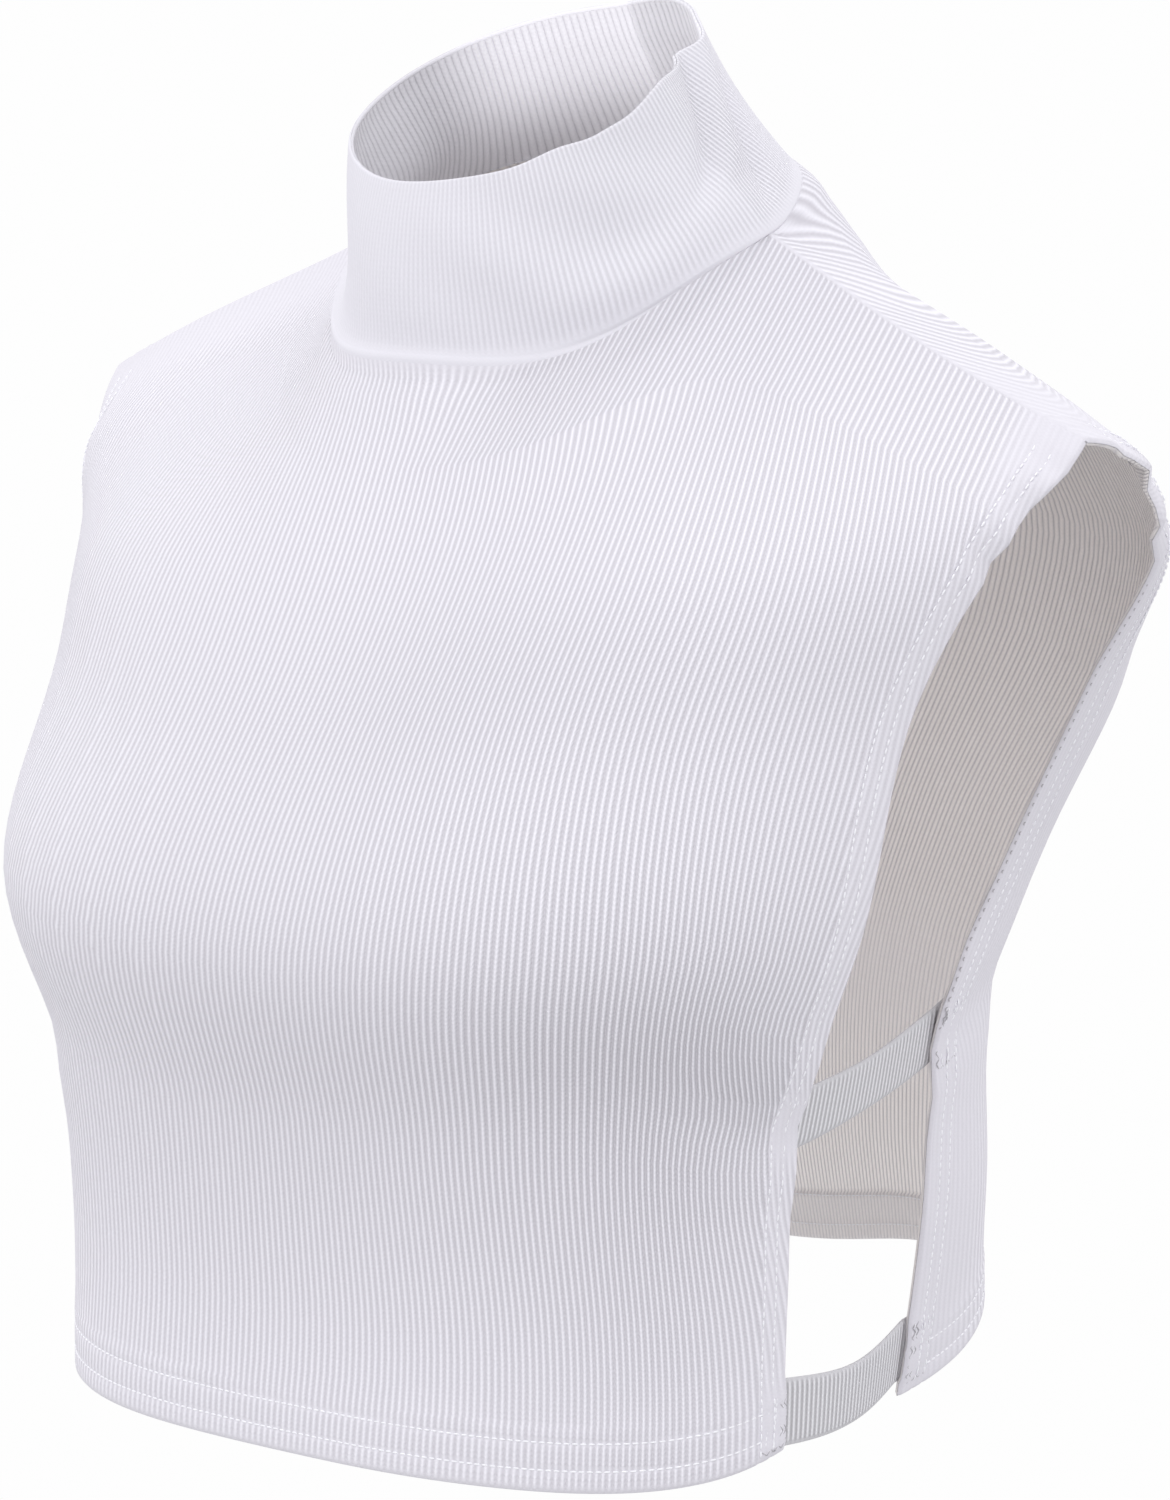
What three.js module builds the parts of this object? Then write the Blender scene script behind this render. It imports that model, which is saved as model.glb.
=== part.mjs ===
// A rib-knit dickey with a mock neck: a collar, a front, a back and four elastic side straps.
// Millimetres, +Z up. The origin is the middle of the neck seam. The wearer faces -Y, and +X is
// the wearer's left. Every piece is a thin wall with the outer face of the garment on its outside.
import * as THREE from 'three';

// Thicknesses and the gap left between pieces that are sewn together
const wall = 1.3; // one layer of the knit
const hemWall = 2.7; // a turned hem: the layer, folded in once
const collarWall = 2.8; // the collar is made double
const strapWall = 1.8; // the straps are made double, of a finer knit
const seamGap = 0.44; // clear space along each seam

// The neck seam: half width, reach to the front and to the back, slope and the drop of the front.
// dip: how much lower it hangs between the front and the side. side: the same at the side
const neck = { half: 73, middle: 12, front: 86, back: 62, slope: 0.32, drop: 15, dip: 12, side: 6 };

// The collar's top edge: half width, reach, height of its middle, slope
const rim = { half: 54.5, middle: -18, front: 54.5, back: 54.5, height: 37.5, slope: 0.48 };
const rimWave = 2.2; // how far the rolled edge waves up and down
const collarFold = 1.5; // depth of the soft diagonal creases of the collar
const bow = { front: 3.5, side: -2 }; // how far the collar's wall stands out from a straight line

// The outer end of the shoulder seam on the wearer's left, and how far the seam sags
const shoulder = { x: 188, y: 12, z: -63, sag: 3 };

// The wearer's right shoulder is fuller: its end stands further out, and its seam rises
const rightShoulder = { out: 17, up: 5.5, from: 0.12, to: 0.3 };

// How steeply the cloth leaves its top edge, in degrees under the level: at the middle of the
// neck, and at the end of the shoulder. carry: how far that direction holds over the shoulder
const frontLeaves = { neck: 62, shoulder: 46, carry: 1 };
const backLeaves = { neck: 35, shoulder: 5, carry: 2.4 };

// Level cuts through each panel, from the top down. middleZ and edgeZ: height at the middle and
// at the side edge. half: distance of the edge from the middle. middleY and edgeY: depth there.
// square: 2 is an ellipse, more is squarer. wrap: how far round to the side the cut goes, in
// degrees. rise: how much higher the cut is at the wearer's left edge.
const frontCuts = [
  { middleZ: -100, edgeZ: -94, half: 176, middleY: -116, edgeY: -14, square: 2.2, wrap: 74, rise: 0 },
  { middleZ: -150, edgeZ: -142, half: 162, middleY: -142, edgeY: -40, square: 2.2, wrap: 82, rise: 0 },
  { middleZ: -212, edgeZ: -204, half: 156, middleY: -160, edgeY: -55, square: 2.8, wrap: 86, rise: 0 },
  { middleZ: -272, edgeZ: -264, half: 140, middleY: -136, edgeY: -64, square: 3.0, wrap: 88, rise: 1 },
  { middleZ: -330, edgeZ: -322, half: 138, middleY: -126, edgeY: -68, square: 2.9, wrap: 88, rise: 4 },
  { middleZ: -381, edgeZ: -373, half: 138, middleY: -130, edgeY: -70, square: 2.7, wrap: 88, rise: 7 },
];
const backCuts = [
  { middleZ: -95, edgeZ: -95, half: 193, middleY: 124, edgeY: 48, square: 2.6, wrap: 80, rise: 0 },
  { middleZ: -145, edgeZ: -145, half: 163, middleY: 126, edgeY: 60, square: 3.4, wrap: 90, rise: 0 },
  { middleZ: -205, edgeZ: -205, half: 138, middleY: 114, edgeY: 52, square: 3.4, wrap: 90, rise: 0 },
  { middleZ: -256, edgeZ: -254, half: 126, middleY: 103, edgeY: 34, square: 3.4, wrap: 90, rise: 0 },
  { middleZ: -318, edgeZ: -318, half: 126, middleY: 107, edgeY: 27, square: 3.4, wrap: 90, rise: 0 },
  { middleZ: -370, edgeZ: -380, half: 119, middleY: 122, edgeY: 26, square: 3.4, wrap: 90, rise: 0 },
];

// The back's bottom edge lifts off the waist on both sides of the middle. at and width: shares of
// the half width. from: where it starts down the panel
const backLift = { height: 14, at: 0.45, width: 0.27, from: 0.78 };

// Turned hems: their width along the bottom and along the armholes and sides
const bottomHem = 20;
const sideHem = 12;
const hemStep = 0.9; // width of the step where the folded layer ends

// A gathered ripple where the front armhole hem meets the shoulder
const ripple = { depth: 2.2, from: 0.02, to: 0.2, waves: 3 };

// The straps. share: where along the panel's side edge the strap's middle is sewn, from the top.
// out: how far its middle bows to the side. sag: how far its middle hangs down.
const upperStrap = { width: 19, frontShare: 0.695, backShare: 0.666, out: 1.5, sag: 0.5 };
const lowerStrap = { width: 22, frontShare: 0.968, backShare: 0.958, out: 4, sag: 3.5 };
const strapPull = 0.85; // how straight a strap leaves its hem: 1 is along the shortest line
const strapTuck = 7; // how far a strap's end runs in behind the hem it is sewn to

// How finely the pieces are cut into flat faces
const collarColumns = 40; // a multiple of 4
const collarRows = 6;
const shoulderColumns = 9; // from the neck to the hem of the armhole
const panelRows = 21;

const rad = THREE.MathUtils.degToRad;
const vec = (x, y, z) => new THREE.Vector3(x, y, z);
const clamp = THREE.MathUtils.clamp;
const smooth = THREE.MathUtils.smoothstep;

// A point of the neck seam. turn: 0 at the front, 90 at the wearer's left, 180 at the back
function neckPoint(turn) {
  const c = Math.cos(rad(turn));
  const reach = c > 0 ? -neck.front * c : -neck.back * c;
  const sideways = Math.exp(-(((Math.abs(turn) - 90) / 22) ** 2));
  let low = neck.side * sideways;
  if (c > 0) low += neck.drop * c ** 4 + neck.dip * Math.sin(rad(2 * turn)) ** 2;
  return vec(neck.half * Math.sin(rad(turn)), neck.middle + reach, neck.slope * reach - low);
}

// A point of the collar's top edge, which waves where the roll buckles at the wearer's left
function rimPoint(turn) {
  const c = Math.cos(rad(turn));
  const reach = c > 0 ? -rim.front * c : -rim.back * c;
  const wave = Math.exp(-(((turn - 62) / 26) ** 2)) * Math.sin(rad((turn - 62) * 7));
  return vec(
    rim.half * Math.sin(rad(turn)),
    rim.middle + reach,
    rim.height + rim.slope * reach + rimWave * wave,
  );
}

// The share of a panel's top edge that is neck seam; the rest is shoulder seam
const neckShare = neck.half / shoulder.x;

// A point of a panel's top edge. s: -1 at the wearer's right end, 0 in the middle, 1 at the left
function topEdge(s, front) {
  const a = Math.abs(s);
  let p;
  if (a < neckShare) {
    const turn = THREE.MathUtils.radToDeg(Math.asin(a / neckShare));
    p = neckPoint(front ? turn : 180 - turn);
  } else {
    const k = (a - neckShare) / (1 - neckShare);
    p = neckPoint(90).lerp(vec(shoulder.x, shoulder.y, shoulder.z), k);
    p.z -= shoulder.sag * Math.sin(Math.PI * k);
  }
  if (s < 0) p.x = -p.x;
  return p;
}

// A level cut as points equally spaced along the cloth, from the middle to the wearer's left edge
const cutSteps = 240;
function cutPoints(cut) {
  const turn = rad(cut.wrap);
  const power = 2 / cut.square;
  const last = Math.cos(turn) ** power;
  const raw = [];
  for (let i = 0; i <= 4 * cutSteps; i++) {
    const u = i / (4 * cutSteps);
    const share = (Math.max(Math.cos(turn * u), 0) ** power - last) / (1 - last);
    raw.push(vec(
      cut.half * (Math.sin(turn * u) / Math.sin(turn)) ** power,
      cut.edgeY + (cut.middleY - cut.edgeY) * share,
      cut.middleZ + (cut.edgeZ - cut.middleZ) * u * u,
    ));
  }
  const run = [0];
  for (let i = 1; i < raw.length; i++) run.push(run[i - 1] + raw[i].distanceTo(raw[i - 1]));
  const points = [];
  for (let i = 0, k = 0; i <= cutSteps; i++) {
    const want = (run[run.length - 1] * i) / cutSteps;
    while (k < raw.length - 2 && run[k + 1] < want) k++;
    const share = clamp((want - run[k]) / (run[k + 1] - run[k]), 0, 1);
    points.push(raw[k].clone().lerp(raw[k + 1], share));
  }
  return { points, rise: cut.rise, length: run[run.length - 1] };
}

// A point of a level cut at s
function onCut(made, s) {
  const at = Math.min(Math.abs(s), 1) * cutSteps;
  const k = Math.min(Math.floor(at), cutSteps - 1);
  const p = made.points[k].clone().lerp(made.points[k + 1], at - k);
  const edge = made.points[cutSteps].x;
  if (s < 0) p.x = -p.x;
  p.z += (made.rise * p.x) / edge;
  return p;
}

// The outer face of a panel. Each column of the knit runs from the top edge down through the
// level cuts as one smooth curve. t: 0 at the seam and 1 at the bottom edge, by length
function panelFace(cuts, leaves, front) {
  const made = cuts.map(cutPoints);
  const columns = new Map();
  // the corner of the top edge at the neck's side is felt only down to the first cut: below it
  // the column is shaped by this softened top edge
  const softEdge = (s) => {
    const p = vec(0, 0, 0);
    for (const shift of [-0.18, -0.09, 0, 0.09, 0.18]) p.addScaledVector(topEdge(clamp(s + shift, -1, 1), front), 0.2);
    p.x = topEdge(s, front).x;
    return p;
  };
  const column = (s) => {
    if (columns.has(s)) return columns.get(s);
    const knots = [topEdge(s, front), ...made.map((cut) => onCut(cut, s))];
    const soft = [softEdge(s), ...knots.slice(1)];
    const run = [0];
    for (let i = 1; i < soft.length; i++) run.push(run[i - 1] + soft[i].distanceTo(soft[i - 1]));
    const share = smooth(Math.abs(s) / neckShare, 0, 1.15);
    const fall = rad(leaves.neck + (leaves.shoulder - leaves.neck) * share);
    const carry = 1 + (leaves.carry - 1) * smooth(Math.abs(s) / neckShare, 0.7, 1.4);
    const ways = soft.map((p, i) => {
      if (i === 0) return vec(0, (front ? -1 : 1) * Math.cos(fall), -Math.sin(fall)).multiplyScalar(carry);
      const j = Math.min(i + 1, soft.length - 1);
      return soft[j].clone().sub(soft[i - 1]).divideScalar(run[j] - run[i - 1]);
    });
    columns.set(s, { knots, run, ways });
    return columns.get(s);
  };
  const face = (s, t) => {
    const { knots, run, ways } = column(s);
    const length = run[run.length - 1];
    const want = clamp(t, 0, 1) * length;
    let k = 0;
    while (k < knots.length - 2 && run[k + 1] < want) k++;
    const h = run[k + 1] - run[k];
    const u = (want - run[k]) / h;
    const p = knots[k].clone().multiplyScalar(2 * u ** 3 - 3 * u ** 2 + 1);
    p.addScaledVector(ways[k], h * (u ** 3 - 2 * u ** 2 + u));
    p.addScaledVector(knots[k + 1], -2 * u ** 3 + 3 * u ** 2);
    p.addScaledVector(ways[k + 1], h * (u ** 3 - u ** 2));
    if (front) {
      const near = smooth(Math.abs(s), 0.9, 1) * smooth(t, ripple.from, ripple.from + 0.03);
      const here = near * (1 - smooth(t, ripple.to - 0.06, ripple.to));
      const wave = Math.sin(2 * Math.PI * ripple.waves * (t - ripple.from) / (ripple.to - ripple.from));
      p.y -= ripple.depth * here * wave;
    } else {
      const here = Math.exp(-(((Math.abs(s) - backLift.at) / backLift.width) ** 2));
      p.z += backLift.height * here * smooth(t, backLift.from, 1);
    }
    if (s < 0) {
      const k = clamp((-s - neckShare) / (1 - neckShare), 0, 1);
      const fade = 1 - smooth(t, rightShoulder.from, rightShoulder.to);
      p.x -= rightShoulder.out * fade * smooth(k, 0.2, 1);
      p.z += rightShoulder.up * fade * Math.sin(Math.PI * k);
    }
    return p;
  };
  face.columnLength = (s) => column(s).run[cuts.length];
  face.halfWidth = made.reduce((sum, cut) => sum + cut.length, 0) / made.length;
  face.front = front;
  return face;
}

const frontFace = panelFace(frontCuts, frontLeaves, true);
const backFace = panelFace(backCuts, backLeaves, false);

// The direction from a panel's outer face to its inside, square to the cloth
function panelInward(face, s, t) {
  const ds = 0.004;
  const dt = 0.004;
  const across = face(Math.min(s + ds, 1), t).sub(face(Math.max(s - ds, -1), t));
  const down = face(s, Math.min(t + dt, 1)).sub(face(s, Math.max(t - dt, 0)));
  const n = across.cross(down).normalize();
  return face.front ? n : n.negate();
}

// The direction in which all pieces that meet at a seam are cut, so that their cut faces stay
// parallel: inward and down at the neck, down at the shoulder
function neckCut(turn) {
  const c = Math.cos(rad(turn));
  const level = 0.5 + 0.45 * Math.abs(c);
  return vec(-Math.sin(rad(turn)) * level, c * level, -Math.sqrt(1 - level * level));
}
function seamCut(s, front) {
  const a = Math.abs(s);
  let way;
  if (a < neckShare) {
    const turn = THREE.MathUtils.radToDeg(Math.asin(a / neckShare));
    way = neckCut(front ? turn : 180 - turn);
  } else {
    way = neckCut(90);
  }
  if (s < 0) way.x = -way.x;
  return way;
}

// A thin closed body from a grid of outer points and the matching inner points
function shell(name, outer, inner, colour, turned) {
  const rows = outer.length;
  const columns = outer[0].length;
  const points = [...outer.flat(), ...inner.flat()];
  const far = rows * columns;
  const at = (i, j) => i * columns + j;
  const faces = [];
  const quad = (a, b, c, d) => {
    if (turned) faces.push(a, c, b, a, d, c);
    else faces.push(a, b, c, a, c, d);
  };
  for (let i = 0; i < rows - 1; i++) {
    for (let j = 0; j < columns - 1; j++) {
      quad(at(i, j), at(i + 1, j), at(i + 1, j + 1), at(i, j + 1));
      quad(far + at(i, j), far + at(i, j + 1), far + at(i + 1, j + 1), far + at(i + 1, j));
    }
  }
  for (let j = 0; j < columns - 1; j++) {
    const end = rows - 1;
    quad(at(0, j), at(0, j + 1), far + at(0, j + 1), far + at(0, j));
    quad(at(end, j), far + at(end, j), far + at(end, j + 1), at(end, j + 1));
  }
  for (let i = 0; i < rows - 1; i++) {
    const end = columns - 1;
    quad(at(i, 0), far + at(i, 0), far + at(i + 1, 0), at(i + 1, 0));
    quad(at(i, end), at(i + 1, end), far + at(i + 1, end), far + at(i, end));
  }
  return mesh(name, points, faces, colour);
}

function mesh(name, points, faces, colour) {
  const geometry = new THREE.BufferGeometry();
  geometry.setAttribute('position', new THREE.Float32BufferAttribute(points.flatMap((p) => p.toArray()), 3));
  geometry.setIndex(faces);
  geometry.computeVertexNormals();
  const made = new THREE.Mesh(geometry, new THREE.MeshStandardMaterial({ color: colour, roughness: 0.9 }));
  made.name = name;
  return made;
}

// The front or the back, with its hems turned to the inside
function panel(name, face, colour) {
  const side = sideHem / face.halfWidth;
  const step = hemStep / face.halfWidth;
  const inner = 1 - side - step;
  const columns = [0];
  // along the neck the columns stand where the collar's do, so that the seam stays parallel
  const quarter = collarColumns / 4;
  for (let i = 1; i <= quarter; i++) {
    const s = neckShare * Math.sin(rad((90 * i) / quarter));
    columns.push(s, -s);
  }
  for (let i = 1; i <= shoulderColumns; i++) {
    const s = neckShare + ((inner - neckShare) * i) / shoulderColumns;
    columns.push(s, -s);
  }
  for (const s of [1 - side, 1 - side / 2, 1]) columns.push(s, -s);
  columns.sort((a, b) => a - b);
  const rows = [];
  const bottom = bottomHem / face.columnLength(0.5);
  const bottomStep = hemStep / face.columnLength(0.5);
  for (let i = 0; i <= panelRows; i++) {
    const t = (i / panelRows) ** 1.15 * (1 - bottom - bottomStep);
    rows.push(t);
  }
  rows.push(1 - bottom, 1 - bottom / 2, 1);
  const outer = [];
  const inside = [];
  for (const t of rows) {
    const line = [];
    const back = [];
    for (const s of columns) {
      const start = seamGap / 2 / face.columnLength(s);
      const v = Math.max(t, start);
      const p = face(s, v);
      const hemmed = Math.abs(s) > 1 - side - 1e-6 || t > 1 - bottom - 1e-6;
      const square = panelInward(face, s, v);
      const near = 1 - smooth(v * face.columnLength(s), 0, 9);
      const way = square.clone().lerp(seamCut(s, face.front), near).normalize();
      const thick = (hemmed ? hemWall : wall) / clamp(way.dot(square), 0.62, 1);
      line.push(p);
      back.push(p.clone().addScaledVector(way, thick));
    }
    outer.push(line);
    inside.push(back);
  }
  return shell(name, outer, inside, colour, !face.front);
}

// How far the collar bows out at a turn: out at the front, in at the sides and the back
function collarBow(turn) {
  return THREE.MathUtils.lerp(bow.side, bow.front, smooth(Math.cos(rad(turn)), 0, 1));
}

// The collar: a double tube with a rolled top edge
function collar(name, colour) {
  const wallPoint = (turn, v) => {
    const low = neckPoint(turn);
    const high = rimPoint(turn);
    const p = low.clone().lerp(high, v);
    // the wall stands up from the seam before it leans in to the rim
    const out = vec(Math.sin(rad(turn)), -Math.cos(rad(turn)), 0);
    p.addScaledVector(out, collarBow(turn) * Math.sin(Math.PI * v));
    const crease = Math.exp(-(((turn - 75 + 30 * v) / 30) ** 2)) * Math.sin(rad((turn + 55 * v) * 9));
    return p.addScaledVector(out, collarFold * crease * Math.sin(Math.PI * v));
  };
  const inwardAt = (turn, v) => {
    const across = wallPoint(turn + 1, v).sub(wallPoint(turn - 1, v));
    const up = wallPoint(turn, Math.min(v + 0.02, 1)).sub(wallPoint(turn, Math.max(v - 0.02, 0)));
    return up.cross(across).normalize();
  };
  const points = [];
  const radius = collarWall / 2;
  let ring = 0;
  for (let i = 0; i < collarColumns; i++) {
    const turn = (360 * i) / collarColumns - (i > collarColumns / 2 ? 360 : 0);
    const height = wallPoint(turn, 1).distanceTo(wallPoint(turn, 0));
    const first = seamGap / 2 / height;
    const profile = [];
    for (let k = 0; k <= collarRows; k++) {
      profile.push(wallPoint(turn, first + (k / collarRows) * (1 - radius / height - first)));
    }
    const n = inwardAt(turn, 1);
    const top = profile[collarRows];
    const up = wallPoint(turn, 1).sub(top).normalize();
    for (const angle of [45, 90, 135]) {
      profile.push(top.clone()
        .addScaledVector(n, radius * (1 - Math.cos(rad(angle))))
        .addScaledVector(up, radius * Math.sin(rad(angle))));
    }
    for (let k = collarRows; k >= 0; k--) {
      const v = first + (k / collarRows) * (1 - radius / height - first);
      const square = k === collarRows ? n : inwardAt(turn, v);
      const near = 1 - smooth(v * height, 0, 12);
      const way = square.clone().lerp(neckCut(turn), near).normalize();
      profile.push(profile[k].clone().addScaledVector(way, collarWall / clamp(way.dot(square), 0.62, 1)));
    }
    ring = profile.length;
    points.push(...profile);
  }
  const faces = [];
  for (let i = 0; i < collarColumns; i++) {
    const j = (i + 1) % collarColumns;
    for (let k = 0; k < ring; k++) {
      const l = (k + 1) % ring;
      const [a, b, c, d] = [i * ring + k, j * ring + k, j * ring + l, i * ring + l];
      faces.push(a, b, c, a, c, d);
    }
  }
  return mesh(name, points, faces, colour);
}

// A side strap: it runs out from behind the front's hem and in behind the back's hem
function strap(name, sizes, hand, colour) {
  const under = hemWall + seamGap;
  const tuckFront = strapTuck / frontFace.halfWidth;
  const tuckBack = strapTuck / backFace.halfWidth;
  const edgePoint = (face, s, share) => {
    const p = face(hand * s, share);
    return p.addScaledVector(panelInward(face, hand * s, share), under);
  };
  const line = (shift) => {
    const shareF = sizes.frontShare + shift / frontFace.columnLength(hand);
    const shareB = sizes.backShare + shift / backFace.columnLength(hand);
    const start = [1 - tuckFront, 1 - tuckFront / 2, 1].map((s) => edgePoint(frontFace, s, shareF));
    const end = [1, 1 - tuckBack / 2, 1 - tuckBack].map((s) => edgePoint(backFace, s, shareB));
    const from = start[2];
    const to = end[0];
    const middle = [];
    const span = from.distanceTo(to);
    // pulled nearly straight, it keeps only some of the panels' direction at its ends
    const wayOut = start[2].clone().sub(start[1]).normalize().multiplyScalar(1 - strapPull);
    const wayIn = end[1].clone().sub(end[0]).normalize().multiplyScalar(1 - strapPull);
    const straight = to.clone().sub(from).multiplyScalar(strapPull / span);
    wayOut.add(straight);
    wayIn.add(straight);
    const steps = 12;
    for (let i = 1; i < steps; i++) {
      const u = i / steps;
      const p = from.clone().multiplyScalar(2 * u ** 3 - 3 * u ** 2 + 1);
      p.addScaledVector(wayOut, span * (u ** 3 - 2 * u ** 2 + u));
      p.addScaledVector(to, -2 * u ** 3 + 3 * u ** 2);
      p.addScaledVector(wayIn, span * (u ** 3 - u ** 2));
      const bow = Math.sin(Math.PI * u);
      p.x += hand * sizes.out * bow;
      p.z -= sizes.sag * bow;
      middle.push(p);
    }
    return [...start, ...middle, ...end];
  };
  const lines = [-0.5, -0.17, 0.17, 0.5].map((k) => line(k * sizes.width));
  const inner = lines.map((points, i) => points.map((p, j) => {
    const along = points[Math.min(j + 1, points.length - 1)].clone().sub(points[Math.max(j - 1, 0)]);
    const below = lines[Math.min(i + 1, 3)][j].clone().sub(lines[Math.max(i - 1, 0)][j]);
    const n = along.cross(below).normalize().multiplyScalar(hand);
    return p.clone().addScaledVector(n, strapWall);
  }));
  return shell(name, lines, inner, colour, hand < 0);
}

const group = new THREE.Group();
group.add(
  collar('collar', 0xf2f1f4),
  panel('front_panel', frontFace, 0xf0eff3),
  panel('back_panel', backFace, 0xecebee),
  strap('upper_strap_left', upperStrap, 1, 0xf4f3f5),
  strap('upper_strap_right', upperStrap, -1, 0xf4f3f5),
  strap('lower_strap_left', lowerStrap, 1, 0xf4f3f5),
  strap('lower_strap_right', lowerStrap, -1, 0xf4f3f5),
);

export default group;
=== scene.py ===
# %% [markdown]
# A white rib-knit dickey with a mock neck. On the real garment everything is one soft knit: a
# double collar, a front and a back, joined at the neck and the shoulders and open down the sides,
# where two pairs of narrow elastic straps hold them together. This lesson builds each piece as a
# surface worked out with numpy on a grid. Every point of a surface also knows which rib of the
# knit it lies on, and the yarn material draws the ribs from that number.

# %% Load the frame
import math

import bpy
import numpy as np
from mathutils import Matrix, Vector


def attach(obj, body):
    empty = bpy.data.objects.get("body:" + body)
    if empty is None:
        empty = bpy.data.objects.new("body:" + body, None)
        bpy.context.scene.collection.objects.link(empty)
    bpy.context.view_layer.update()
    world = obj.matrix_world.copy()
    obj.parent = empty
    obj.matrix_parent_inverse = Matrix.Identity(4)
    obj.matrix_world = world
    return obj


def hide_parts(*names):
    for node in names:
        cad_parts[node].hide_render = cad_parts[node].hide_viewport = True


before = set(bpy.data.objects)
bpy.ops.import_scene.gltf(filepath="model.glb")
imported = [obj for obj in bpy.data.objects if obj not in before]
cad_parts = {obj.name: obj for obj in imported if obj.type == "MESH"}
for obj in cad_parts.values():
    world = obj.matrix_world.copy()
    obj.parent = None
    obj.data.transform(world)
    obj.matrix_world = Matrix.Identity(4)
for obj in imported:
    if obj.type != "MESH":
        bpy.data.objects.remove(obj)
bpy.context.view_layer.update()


def added(name, data):
    """A new object of the scene with that data."""
    made = bpy.data.objects.new(name, data)
    bpy.context.collection.objects.link(made)
    return made


# %% [markdown]
# The camera stands to the wearer's left front and a little above the collar, so that the rim is
# seen almost level and the hem from above. Its angles come from the photo's ellipses: the collar's
# rim and the hem. A long lens at 1.4 m gives the photo's mild perspective.

# %% Camera
CAMERA_TURN = 37.0  # degrees from straight ahead towards the wearer's left
CAMERA_RISE = 10.5  # degrees above the middle of the picture
CAMERA_FAR = 1.39  # metres
PICTURE_TALL = 0.4875  # metres covered by the picture's height at that distance
LOOK_AT = Vector((0.010, 0.0, -0.175))

turn, rise = math.radians(CAMERA_TURN), math.radians(CAMERA_RISE)
towards = Vector((math.sin(turn) * math.cos(rise), -math.cos(turn) * math.cos(rise), math.sin(rise)))
camera = added("camera", bpy.data.cameras.new("camera"))
camera.location = LOOK_AT + towards * CAMERA_FAR
camera.rotation_mode = "QUATERNION"
camera.rotation_quaternion = (-towards).to_track_quat("-Z", "Y")
camera.data.lens = 36.0 * CAMERA_FAR / PICTURE_TALL
camera.data.clip_start, camera.data.clip_end = 0.05, 100.0
bpy.context.scene.camera = camera
print("lens, mm:", round(camera.data.lens, 1))

# %% [markdown]
# White cloth on white is lit by the room, not by a lamp. The world is an even pale sky, and the
# pale floor sends light back up. One very soft sun stands high in front, so that the faces that
# look up are brighter and the cloth under the bust is darker. What the camera sees of the sky and
# the floor is plain white paper. The Standard view keeps white as white.

# %% Light and floor
SKY_COLOUR, SKY_STRENGTH = (0.985, 0.985, 1.0, 1.0), 1.24
SUN_FROM = Vector((-0.1, -0.8, 0.6))  # a little to the wearer's right, in front and above
SUN_STRENGTH = 0.27
SUN_SOFTNESS = 70.0  # degrees across
PAPER = (0.99, 0.99, 0.99, 1.0)
FLOOR_Z, FLOOR_HALF = -0.95, 30.0  # metres
FLOOR_GREY = (0.55, 0.55, 0.55, 1.0)


def seen_white(tree, lit, output):
    """What the camera sees directly is white paper; what lights the cloth is the shader as given."""
    is_sky = lit.bl_idname == "ShaderNodeBackground"
    paper = tree.nodes.new("ShaderNodeBackground" if is_sky else "ShaderNodeEmission")
    choose, rays = tree.nodes.new("ShaderNodeMixShader"), tree.nodes.new("ShaderNodeLightPath")
    paper.inputs["Color"].default_value = PAPER
    tree.links.new(rays.outputs["Is Camera Ray"], choose.inputs[0])
    tree.links.new(lit.outputs[0], choose.inputs[1])
    tree.links.new(paper.outputs[0], choose.inputs[2])
    tree.links.new(choose.outputs[0], output.inputs["Surface"])


world = bpy.data.worlds.new("studio")
bpy.context.scene.world = world
world.use_nodes = True
sky = world.node_tree.nodes["Background"]
sky.inputs["Color"].default_value = SKY_COLOUR
sky.inputs["Strength"].default_value = SKY_STRENGTH
seen_white(world.node_tree, sky, world.node_tree.nodes["World Output"])
sun = added("sun", bpy.data.lights.new("sun", "SUN"))
sun.location = LOOK_AT + SUN_FROM * 3
sun.rotation_euler = (-SUN_FROM).to_track_quat("-Z", "Y").to_euler()
sun.data.energy = SUN_STRENGTH
sun.data.angle = math.radians(SUN_SOFTNESS)
bpy.context.scene.view_settings.view_transform = "Standard"

floor_mesh = bpy.data.meshes.new("floor")
signs = ((-1, -1), (1, -1), (1, 1), (-1, 1))
corners = [(x * FLOOR_HALF, y * FLOOR_HALF, FLOOR_Z) for x, y in signs]
floor_mesh.from_pydata(corners, [], [(0, 1, 2, 3)])
floor = added("floor", floor_mesh)
paint = bpy.data.materials.new("pale_floor")
paint.use_nodes = True
matt = paint.node_tree.nodes["Principled BSDF"]
matt.inputs["Base Color"].default_value = FLOOR_GREY
matt.inputs["Roughness"].default_value = 1.0
seen_white(paint.node_tree, matt, paint.node_tree.nodes["Material Output"])
floor_mesh.materials.append(paint)

# %% [markdown]
# The form of the garment is the same as in the part's source: a neck seam, a rim, a shoulder seam
# and level cuts through each panel, in millimetres. Writing the cuts as small tables with named
# columns keeps the form readable: each row says how high, how wide, how deep and how square the
# body is at one level.

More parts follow.
